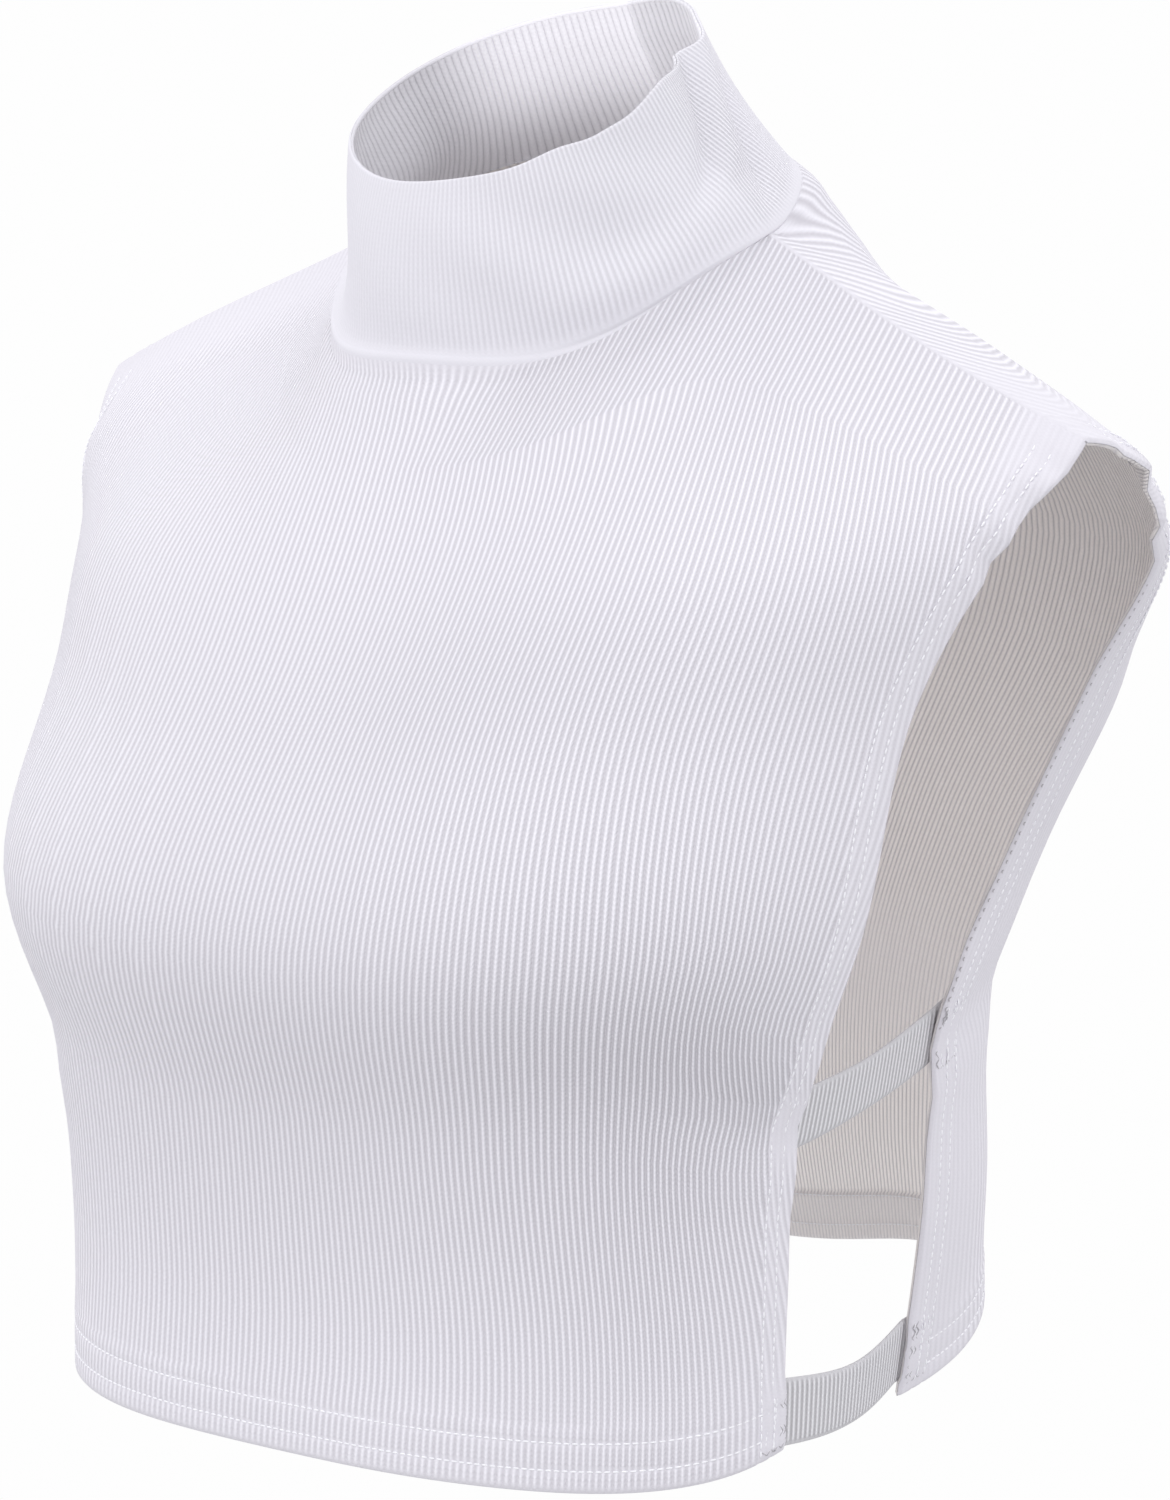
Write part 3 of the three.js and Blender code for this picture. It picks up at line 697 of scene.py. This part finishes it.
def rim_point(turn_deg):
    """A point of the collar's top edge: a sloped circle with a few waves, most at the left front."""
    a = np.radians(turn_deg)
    c = np.cos(a)
    reach = np.where(c > 0, -RIM["front"] * c, -RIM["back"] * c)
    past = np.mod(turn_deg, 360)
    wave = bumps(past, RIM_WAVES) + 0.4 * np.sin(np.radians(turn_deg * 5)) * smooth(c, -0.2, 0.5)
    wide = RIM["half"] + bumps(past, RIM_WIDTHS)
    y = RIM["middle"] + reach * wide / RIM["half"]
    return xyz(wide * np.sin(a), y, RIM["height"] + RIM["slope"] * reach + wave)


def collar_wall(turn_deg, v):
    """The outer face: from the seam (v 0) to the rim (v 1), bowed out, with its creases."""
    a = np.radians(turn_deg)
    out = xyz(np.sin(a), -np.cos(a), 0 * a)
    p = neck_point(turn_deg) * (1 - v)[..., None] + rim_point(turn_deg) * v[..., None]
    bow = (BOW["side"] + (BOW["front"] - BOW["side"]) * smooth(np.cos(a), 0, 1)) * np.sin(np.pi * v)
    ripple = bell(turn_deg, 45, 40) * np.sin(np.radians((turn_deg + 60 * v) * 8)) * np.sin(np.pi * v)
    upper = turn_deg - (89 + 54 * (v - 0.47))  # a crease from the rim down to the middle of the wall
    lower = turn_deg - (104 + 46 * (v - 0.2))  # and one beside it, lower down
    crease = bumps(upper, ((-3.4, 0, 6), (2.0, 13, 8))) * smooth(v, 0.28, 0.45)
    crease = crease - 3.0 * bell(lower, 0, 5) * smooth(v, 0.06, 0.25) * (1 - smooth(v, 0.62, 0.8))
    crease = crease + 2.6 * bell(turn_deg, 62, 26) * bell(v, 0.2, 0.16)  # the foot swells out under them
    hollow = -8.5 * bell(turn_deg, -78, 42) * bell(v, 0.42, 0.34) * smooth(v, 0, 0.16)
    bow = bow + ripple + crease + hollow
    return p + out * bow[..., None]


def collar_outward(turn_deg, v):
    """The outward direction of the collar's face."""
    across = collar_wall(turn_deg + 1, v) - collar_wall(turn_deg - 1, v)
    up = collar_wall(turn_deg, np.minimum(v + 0.02, 1)) - collar_wall(turn_deg, np.maximum(v - 0.02, 0))
    return unit(np.cross(across, up))


def beside_seam(turn_deg, down):
    """The panel's own face, down millimetres below the neck seam, and its outward direction."""
    s = np.sin(np.radians(turn_deg)) * NECK_SHARE
    found = []
    for side in ("front", "back"):
        t = down / panel_length(side, s)
        out = panel_outward(side, s, t)
        way = seam_way(turn_deg, down, out)
        face = panel_face(side, s, t) + way * seam_roll(turn_deg, down)[..., None]
        found.append((face + out * panel_folds(side, s, t)[..., None], out))
    (front, front_out), (back, back_out) = found
    ahead = (np.abs(turn_deg) <= 90)[..., None]
    return np.where(ahead, front, back), np.where(ahead, front_out, back_out)


def collar_loop(turned):
    """The closed wall: rows of the skirt, the outer face, a half circle and the face less the cloth."""
    turn_up, v = np.meshgrid(turned, WALL_ROWS)
    up = v * COLLAR_HEIGHT
    out = collar_outward(turn_up, v)
    wall = collar_wall(turn_up, v) + seam_way(turn_up, up, out) * seam_roll(turn_up, -up)[..., None]
    wall = wall + out * LAP * bell(up, 0, 3)[..., None]
    turn_down, sunk = np.meshgrid(turned, SKIRT_ROWS)
    reach = 0.8 + 3.6 * (1 - smooth(turned, 40, 75)) * smooth(turned, -110, -75)
    skirt, skirt_out = beside_seam(turn_down, sunk * reach)
    skirt = skirt + skirt_out * (LAP - 0.4 * smooth(sunk, 0.25, 1))[..., None]
    double = COLLAR_WALL - COLLAR_THINNER * smooth(v, 0.75, 0.98)[..., None]
    foot = wall[:1] - out[:1] * double[:1] - np.array([0, 0, 0.5])
    radius, along = double[-1] / 2, unit(wall[-1] - wall[-2])
    middle = wall[-1] - out[-1] * radius
    arcs = [middle + (out[-1] * math.cos(a) + along * math.sin(a)) * radius for a in ROLL_ANGLES]
    return np.concatenate([skirt, wall, np.array(arcs), (wall - out * double)[::-1], foot])


def make_collar(name):
    """The tube of collar_loop, with its ribs, their relief and the painted light of the wrong side."""
    turned = -180 + 360 * np.arange(COLLAR_COLUMNS) / COLLAR_COLUMNS
    loop = collar_loop(turned)
    rows, columns = loop.shape[:2]
    first, last = np.arange(columns), np.arange(columns) + (rows - 1) * columns
    closing = np.stack([last, np.roll(last, -1), np.roll(first, -1), first], -1)
    quads = np.concatenate([grid_faces(rows, columns, 0, True, closed=True), closing[:, ::-1]])
    up, over = WALL_ROWS * COLLAR_HEIGHT, len(ROLL_ANGLES)
    run = np.concatenate([
        -5 * SKIRT_ROWS,
        up,
        COLLAR_HEIGHT + 0.4 * np.arange(1, over + 1),
        COLLAR_HEIGHT + 5 + (COLLAR_HEIGHT - up)[::-1],
        [2 * COLLAR_HEIGHT + 6],
    ])
    right_side = np.zeros(len(SKIRT_ROWS) + len(up))
    inside = np.concatenate([right_side, np.linspace(0, 1, over), np.ones(len(up) + 1)])
    ribs = np.where(inside < 0.5, COLLAR_RIBS, COLLAR_RIBS_INSIDE)
    wide = lambda column: np.broadcast_to(column[:, None], (rows, columns))
    soft = 0.16 + 0.44 * smooth(turned, -30, 50) + 0.3 * bell(turned, 104, 14)
    soft = soft * (1 - 0.3 * smooth(turned, 130, 170))
    relief = np.concatenate([
        np.zeros((len(SKIRT_ROWS), columns)),
        soft * smooth(up, 0, 5)[:, None],
        np.broadcast_to(0.8 * soft, (over, columns)),
        np.ones((len(up) + 1, columns)),
    ])
    uv = np.stack([(turned / 360 + 0.5) * ribs[:, None], wide(run / ROW_PITCH)], -1)
    # painted light: the collar's inner wall emits, most at the back and near the rim, standing for light
    # that comes through the cloth
    deep = np.concatenate([right_side, np.linspace(0, 1, over), smooth(WALL_ROWS[::-1], 0, 0.7), [0]])
    behind = smooth(-np.cos(np.radians(turned)), 0.15, 0.8) * (1 - 0.55 * bell(turned, 160, 28))
    painted_light_inside = 2.7 * wide(deep) * behind
    return put_mesh(
        name, loop, quads, uv, around=wide(ribs), relief=relief, inside=wide(inside), through=painted_light_inside
    )


collar = make_collar("collar_cloth")

# %% [markdown]
# The side straps are narrow tubes of the same knit pressed flat, with their ribs running across
# them. Each runs out from behind the front's hem, bows and sags a little, and goes in behind the
# back's hem. It is a cross-section of a flattened loop carried along that path.

# %% Side straps
STRAP_WALL = 1.8
STRAP_RIB = 2.9  # millimetres from rib to rib
TUCK = 7  # how far a strap runs in behind a hem
STRAP_STEP = 1.1  # along the strap
LOOP_POINTS = 28  # round the strap
LOOP_SQUARE = {"flat": 0.35, "round": 0.75}  # powers of the cosine and sine


def strap_line(sizes, hand, shift):
    """The strap's path, shift millimetres below its middle: under a hem, a bowed cubic, a hem."""
    ends = {}
    for side in ("front", "back"):
        share = sizes[f"{side}_share"] + shift / panel_length(side, 1.0)
        s = hand * (1 - TUCK / HALF_WIDTH[side] * np.array([1.0, 0.66, 0.33, 0.0]))
        t = np.full(4, float(share))
        ends[side] = panel_face(side, s, t) - panel_outward(side, s, t) * (HEM_WALL + 0.3)
    start, end = ends["front"], ends["back"][::-1]
    a, b = start[-1], end[0]
    span = np.linalg.norm(b - a)
    straight = (b - a) / span * STRAP_PULL
    way_out = unit(start[-1] - start[-2]) * (1 - STRAP_PULL) + straight
    way_in = unit(end[1] - end[0]) * (1 - STRAP_PULL) + straight
    u = np.linspace(0, 1, 130)[1:-1, None]
    bow = np.sin(np.pi * u) * np.array([hand * sizes["out"], 0, -sizes["sag"]])
    return np.concatenate([start, cubic(u, a, b, span * way_out, span * way_in) + bow, end])


def make_strap(sizes, hand, name):
    """A flattened loop of points carried along the path; its ribs are counted along it."""
    half_wide = sizes["width"] / 2
    upper, lower = strap_line(sizes, hand, -half_wide), strap_line(sizes, hand, half_wide)
    middle = (upper + lower) / 2
    down = unit(lower - upper)
    out = unit(np.cross(unit(np.gradient(middle, axis=0)), down)) * -hand
    run = lengths(middle)
    even = np.linspace(0, run[-1], int(run[-1] / STRAP_STEP))
    half = np.interp(even, run, np.linalg.norm(lower - upper, axis=1)) / 2
    half = half * (1 - 0.06 * bell(even, run[-1] / 2, run[-1] / 4))
    middle, down, out = (read_at(even, run, a) for a in (middle, down, out))
    down, out = unit(down), unit(out) * STRAP_WALL / 2
    angle = np.linspace(0, 2 * np.pi, LOOP_POINTS + 1)[:-1]
    flat = np.sign(np.cos(angle)) * np.abs(np.cos(angle)) ** LOOP_SQUARE["flat"]
    raised = np.sign(np.sin(angle)) * np.abs(np.sin(angle)) ** LOOP_SQUARE["round"]
    wide = half[:, None] * flat
    loop = middle[:, None] + down[:, None] * wide[..., None] + out[:, None] * (raised - 1)[:, None]
    rows, columns = wide.shape
    quads = [grid_faces(rows, columns, 0, hand < 0, closed=True)]
    j = np.arange(LOOP_POINTS // 2)
    cap = np.stack([j, j + 1, (-j - 1) % LOOP_POINTS, -j % LOOP_POINTS], -1)
    for row, turned in ((0, hand > 0), (rows - 1, hand < 0)):
        quads.append(row * columns + (cap[:, ::-1] if turned else cap))
    u = np.broadcast_to((even / STRAP_RIB)[:, None], wide.shape)
    relief = np.broadcast_to(1 - smooth(np.abs(flat), 0.8, 1), wide.shape)
    uv = np.stack([u, wide / ROW_PITCH], -1)
    return put_mesh(name, loop, np.concatenate(quads), uv, relief=relief, inside=0 * relief)


straps = {
    f"{level}_strap_{hand}": make_strap(sizes, sign, f"{level}_side_strap_{hand}")
    for level, sizes in (("upper", UPPER), ("lower", LOWER))
    for hand, sign in (("left", 1), ("right", -1))
}

# %% [markdown]
# The hems are held by rows of stitches, which pull the cloth in and lie on it as short bright
# dashes: two rows along each bottom hem and two along each side. Fine slanting stitches lie over
# the strap ends. Overlock thread runs in zigzags at the strap ends, along the bare edge of the
# back's armholes and, on the wrong side, along the turned edges; its dark grey stands for the thread
# together with the shaded gaps between its loops, painted shade. Each stitch is a small capsule
# of six sides, laid along its row by repeating one template with numpy.

# %% Stitches
STITCH = {"long": 2.0, "thick": 0.32, "pitch": 2.7}
FINE = {"long": 1.5, "thick": 0.22, "pitch": 1.9}
ZIGZAG_THICK = 0.24
SIDES = 6  # of a capsule
RINGS = np.array([(-0.5, 0.15), (-0.36, 0.85), (0, 1), (0.36, 0.85), (0.5, 0.15)])  # along, radius
END_PATCH = 10.5  # half the length of a strap's end along the hem
CORNER = 3  # the rows stop this far above the bottom edge


def capsules(path, outward, sizes):
    """One low capsule per stitch: rings of a template turned to the path's direction there."""
    run = lengths(path)
    places = np.arange(sizes["pitch"] / 2, run[-1], sizes["pitch"])
    middle, out = read_at(places, run, path), unit(read_at(places, run, outward))
    ends = [read_at(places + k * sizes["long"] / 2, run, path) for k in (-1, 1)]
    along = unit(ends[1] - ends[0])
    across = unit(np.cross(along, out))
    ring = np.linspace(0, 2 * np.pi, SIDES + 1)[:-1]
    lengthwise = np.repeat(RINGS[:, 0] * sizes["long"], SIDES)
    radii = RINGS[:, 1:] * sizes["thick"]
    ways = ((along, lengthwise), (across, radii * np.cos(ring)), (out, radii * np.sin(ring)))
    points = middle[:, None] + sum(way[:, None] * by.reshape(1, -1, 1) for way, by in ways)
    cap = np.array([[0, 1, 2, 3], [0, 3, 4, 5]])
    last = (len(RINGS) - 1) * SIDES
    one = [grid_faces(len(RINGS), SIDES, 0, False, closed=True), cap, cap[:, ::-1] + last]
    starts = np.arange(len(places)) * len(RINGS) * SIDES
    quads = (np.concatenate(one)[None] + starts[:, None, None]).reshape(-1, 4)
    return put_mesh("row", points, quads)


def stitch_row(side, s, t, sizes=STITCH, lift=0.1):
    """Stitches along the line s, t of a panel, lift millimetres over its outer face."""
    out = panel_outward(side, s, t)
    height = panel_folds(side, s, t) + lift
    return capsules(panel_face(side, s, t) + out * height[:, None], out, sizes)


def zigzag_row(side, s, t, swing, under=0.0, step=1.7):
    """A zigzag of thread about the line s, t: it swings to both sides once in two steps.

    under: millimetres from the outer face down to the thread, for rows on the wrong side.
    """
    out = panel_outward(side, s, t)
    line = panel_face(side, s, t) + out * (panel_folds(side, s, t) + 0.12 - under)[:, None]
    run = lengths(line)
    at = np.arange(0, run[-1], step)
    middle, up = read_at(at, run, line), unit(read_at(at, run, out))
    across = unit(np.cross(np.gradient(middle, axis=0), up))
    path = middle + across * (swing * (np.arange(len(at)) % 2 * 2 - 1))[:, None]
    stroke = math.hypot(step, 2 * swing)
    return capsules(path, up, {"thick": ZIGZAG_THICK, "pitch": stroke, "long": stroke * 1.04})


def join(pieces, name):
    """Several pieces as one mesh."""
    for piece in pieces:
        piece.select_set(True)
    first = pieces[0]
    bpy.context.view_layer.objects.active = first
    chosen = {"selected_editable_objects": pieces, "selected_objects": pieces}
    with bpy.context.temp_override(active_object=first, **chosen):
        bpy.ops.object.join()
    first.name = first.data.name = name
    first.select_set(False)
    return said(first)


def strap_end(side, strap):
    """The highest and the lowest t of a strap's end."""
    length = float(panel_length(side, 1.0))
    top, low = (strap[f"{side}_share"] + k * END_PATCH / length for k in (-1, 1))
    return top, min(low, 1 - CORNER / length)


def hem_stitches(side):
    """Two rows on each hem, fine slanting ones on the strap ends, and fine ones inside the hem."""
    width, length = HALF_WIDTH[side], float(panel_length(side, 1.0))
    inner = 1 - STITCH_ROWS_SIDE[-1] / width
    s = np.linspace(-inner, inner, 400)
    level = lambda distance: 1 - distance / panel_length(side, s)
    rows = [stitch_row(side, s, level(distance)) for distance in STITCH_ROWS_BOTTOM]
    for hand in (-1, 1):
        for distance in STITCH_ROWS_SIDE:
            t = np.linspace(0.03, 1 - CORNER / length, 400)
            rows.append(stitch_row(side, hand * (1 - distance / width) + 0 * t, t))
        for strap in (UPPER, LOWER):
            for distance in (2.2, 6.0, 10.0):
                t = np.linspace(*strap_end(side, strap), 30)
                slanted = distance + 2.0 * (t - t[0]) / (t[-1] - t[0])
                rows.append(stitch_row(side, hand * (1 - slanted / width), t, FINE))
    for distance in (BOTTOM_HEM - 0.4, STITCH_ROWS_BOTTOM[0]):  # on the wrong side
        rows.append(stitch_row(side, s, level(distance), FINE, -HEM_WALL - 0.25))
    return join(rows, f"{side}_hem_stitches")


def overlock(side):
    """Zigzags in dark grey, painted shade of the gaps between the loops: at the strap ends, on the turned
    edges inside and on the back's bare edge.
    """
    rows = []
    width, length = HALF_WIDTH[side], float(panel_length(side, 1.0))

    def upright(hand, distance, t, *sizes):
        rows.append(zigzag_row(side, hand * (1 - distance / width) + 0 * t, t, *sizes))

    for hand in (-1, 1):
        for strap in (UPPER, LOWER):
            top, low = strap_end(side, strap)
            s = hand * np.linspace(1 - 13 / width, 1 - 1.5 / width, 20)
            rows.append(zigzag_row(side, s, low + 0 * s, 0.8))
            if strap is LOWER or side == "back":
                for distance in (1.6, 3.6) if strap is LOWER else (1.6,):
                    upright(hand, distance, np.linspace(top, low, 30), 0.9)
        inside = np.linspace(0.02, 1 - (BOTTOM_HEM + 2) / length, 400)
        upright(hand, SIDE_HEM, inside, 1.3, HEM_WALL + 0.1)
        if side == "back":  # the bare edge shows between the shoulder and the upper strap
            upright(hand, 1.1, np.linspace(0.2, 0.66, 300), 0.9, 0.1)
    return join(rows, f"{side}_overlock")


stitches = [(hem_stitches(side), "thread") for side in ("front", "back")]
# the overlock zigzags take the dark grey that paints the shade in the gaps between their loops
stitches += [(overlock(side), "thread_in_painted_shade") for side in ("front", "back")]

# %% [markdown]
# The cloth is one white yarn in three materials of slightly different tone: the collar's is paler
# outside, painted light, and darker inside, painted shade. The material paints shade into the
# valleys between the ribs and the grooves between the stitches, where real knit shades itself, and
# keeps the same mean tone where the ribs are flat. It carries the V shapes of the stitches as bump:
# the UV map counts ribs across and stitches along, so one V falls on each rib at each stitch. The
# wrong side gets faint painted light, as emission, where light comes through the real cloth.

# %% Yarn materials
PAINTED_LIGHT_THROUGH = 0.2  # painted light: emission of the wrong side, standing for light that comes through the thin white cloth
YARNS = {  # colour, its share in the valleys (painted shade), colour inside, depths of rib and stitch in mm
    # the collar's colour is paler than the knit's, painted light, and its inside colour darker, painted
    # shade
    "collar_yarn_painted_light_and_shade": ((0.89, 0.88, 0.94, 1), (0.66, 0.65, 0.66), (0.74, 0.73, 0.77, 1), 0.45, 0.065),
    # the knit's wrong side is warmer, and paler than its right side: painted light coming through the
    # cloth
    "knit_yarn": ((0.86, 0.845, 0.905, 1), (0.66, 0.65, 0.66), (0.93, 0.89, 0.865, 1), 0.45, 0.05),
    "strap_yarn": ((0.86, 0.855, 0.89, 1), (0.42, 0.41, 0.42), (0.8, 0.79, 0.8, 1), 0.7, 0.06),
}
MEAN_VALLEY, CORD_MEAN = 0.58, 0.42  # how dark flat cloth is, and the cord height that it stands for
FINISH = {
    "Roughness": 0.92, "Specular IOR Level": 0.2, "Sheen Weight": 0.12, "Sheen Roughness": 0.6,
}


def yarn_material(name, colour, valley, inside, rib_depth, stitch_depth):
    """Knit cloth: one cord for each whole number of u, stitch Vs along it, painted shade in the valleys,
    sheen.

    The cord's height is a raised cosine of u to a power. How dark a place is falls with it, as painted
    shade, by as much as the attribute relief says, about a mean that stays. The grooves between the
    stitch Vs get painted shade too.
    """
    material = bpy.data.materials.new(name)
    material.use_nodes = True
    nodes, links = material.node_tree.nodes, material.node_tree.links
    shader = nodes["Principled BSDF"]

    def node(kind, **settings):
        made = nodes.new(kind)
        for key, value in settings.items():
            setattr(made, key, value)
        return made

    def maths(operation, a, b=None, c=None):
        made = node("ShaderNodeMath", operation=operation)
        for socket, value in zip(made.inputs, (a, b, c)):
            if value is None:
                continue
            if isinstance(value, (int, float)):
                socket.default_value = value
            else:
                links.new(value, socket)
        return made.outputs[0]

    def mix(factor, a, b):
        made = node("ShaderNodeMix", data_type="RGBA")
        for socket, value in zip((made.inputs[0], made.inputs[6], made.inputs[7]), (factor, a, b)):
            if isinstance(value, (tuple, float, int)):
                socket.default_value = value
            else:
                links.new(value, socket)
        return made.outputs[2]

    relief, wrong_side, through = (
        node("ShaderNodeAttribute", attribute_name=mark).outputs["Fac"]
        for mark in ("relief", "inside", "through")
    )
    place = node("ShaderNodeTexCoord").outputs["Object"]
    uv = node("ShaderNodeSeparateXYZ")
    links.new(node("ShaderNodeUVMap", uv_map="cloth").outputs["UV"], uv.inputs[0])
    across = maths("SUBTRACT", maths("FRACT", uv.outputs[0]), 0.5)
    leaning = maths("ADD", uv.outputs[1], maths("MULTIPLY", maths("ABSOLUTE", across), 1.3))
    stitch = maths("ABSOLUTE", maths("SUBTRACT", maths("FRACT", leaning), 0.5))
    stitch = maths("MULTIPLY", stitch, 2.0)

    def noise(scale, detail):
        made = node("ShaderNodeTexNoise")
        made.inputs["Scale"].default_value = scale
        made.inputs["Detail"].default_value = detail
        links.new(place, made.inputs["Vector"])
        return made.outputs["Fac"]

    wave = maths("MULTIPLY_ADD", maths("COSINE", maths("MULTIPLY", uv.outputs[0], 2 * math.pi)), -0.5, 0.5)
    power = maths("MULTIPLY_ADD", wrong_side, -0.55, 0.85)  # a rounder cord inside, narrow valleys
    cord = maths("POWER", wave, power)
    valley_here = maths("MULTIPLY_ADD", relief, maths("SUBTRACT", CORD_MEAN, cord), MEAN_VALLEY)
    fuzz, patches = noise(900.0, 2.0), noise(28.0, 2.0)
    # the wrong side's colour: on the collar darker, painted shade; on the knit paler, painted light
    white = mix(wrong_side, colour, inside)
    dark = tuple(c * f for c, f in zip(colour[:3], valley)) + (1.0,)
    # painted shade: darker in the valleys between the ribs, and below in the grooves between the stitch Vs
    shaded = mix(maths("MULTIPLY", valley_here, 0.82), white, dark)
    shaded = mix(maths("MULTIPLY", maths("SUBTRACT", 1.0, stitch), 0.1), shaded, dark)
    shaded = mix(maths("MULTIPLY", patches, 0.06), shaded, dark)
    links.new(shaded, shader.inputs["Base Color"])
    height = maths("MULTIPLY", maths("MULTIPLY", relief, cord), rib_depth)
    grain = maths("MULTIPLY_ADD", relief, 0.7 * stitch_depth, 0.3 * stitch_depth)
    height = maths("MULTIPLY_ADD", stitch, grain, height)
    height = maths("MULTIPLY_ADD", fuzz, stitch_depth * 0.5, height)
    bump = node("ShaderNodeBump")
    bump.inputs["Strength"].default_value = 1.0
    bump.inputs["Distance"].default_value = 0.001
    links.new(height, bump.inputs["Height"])
    links.new(bump.outputs["Normal"], shader.inputs["Normal"])
    for socket, value in FINISH.items():
        shader.inputs[socket].default_value = value
    # painted light: the wrong side emits its own colour as much as the attribute through says, standing
    # for light through the thin cloth
    links.new(shaded, shader.inputs["Emission Color"])
    links.new(maths("MULTIPLY", through, PAINTED_LIGHT_THROUGH), shader.inputs["Emission Strength"])
    return material


yarns = {name: yarn_material(name, *looks) for name, looks in YARNS.items()}


def thread_material(name, light, dark):
    """Twisted sewing thread: two tones mixed by fine noise, with a soft gloss."""
    material = bpy.data.materials.new(name)
    material.use_nodes = True
    nodes, links = material.node_tree.nodes, material.node_tree.links
    twist, place, tint = (nodes.new(f"ShaderNode{kind}") for kind in ("TexNoise", "TexCoord", "Mix"))
    tint.data_type = "RGBA"
    tint.inputs[6].default_value = light
    tint.inputs[7].default_value = dark
    twist.inputs["Scale"].default_value = 900.0
    links.new(place.outputs["Object"], twist.inputs["Vector"])
    links.new(twist.outputs["Fac"], tint.inputs[0])
    links.new(tint.outputs[2], nodes["Principled BSDF"].inputs["Base Color"])
    nodes["Principled BSDF"].inputs["Roughness"].default_value = 0.6
    return material


threads = {
    "thread": thread_material("sewing_thread", (0.95, 0.95, 0.98, 1.0), (0.85, 0.85, 0.89, 1.0)),
    # the thread and the shaded gaps between its loops in one dark grey: painted shade
    "thread_in_painted_shade": thread_material("overlock_painted_shade_thread", (0.6, 0.59, 0.62, 1.0), (0.3, 0.29, 0.31, 1.0)),
}

# %% [markdown]
# Last, each piece takes its finish, rides on the one body, and stands for its solid of the CAD model,
# which is hidden.

# %% Finishes and bodies
for piece, node in ((collar, "collar"), (front_panel, "front_panel"), (back_panel, "back_panel")):
    # the collar takes the yarn with painted light outside and painted shade inside
    piece.data.materials.append(yarns["collar_yarn_painted_light_and_shade" if piece is collar else "knit_yarn"])
    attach(piece, "root")
    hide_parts(node)
for node, piece in straps.items():
    piece.data.materials.append(yarns["strap_yarn"])
    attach(piece, "root")
    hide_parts(node)

for piece, kind in stitches:
    piece.data.materials.append(threads[kind])
    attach(piece, "root")
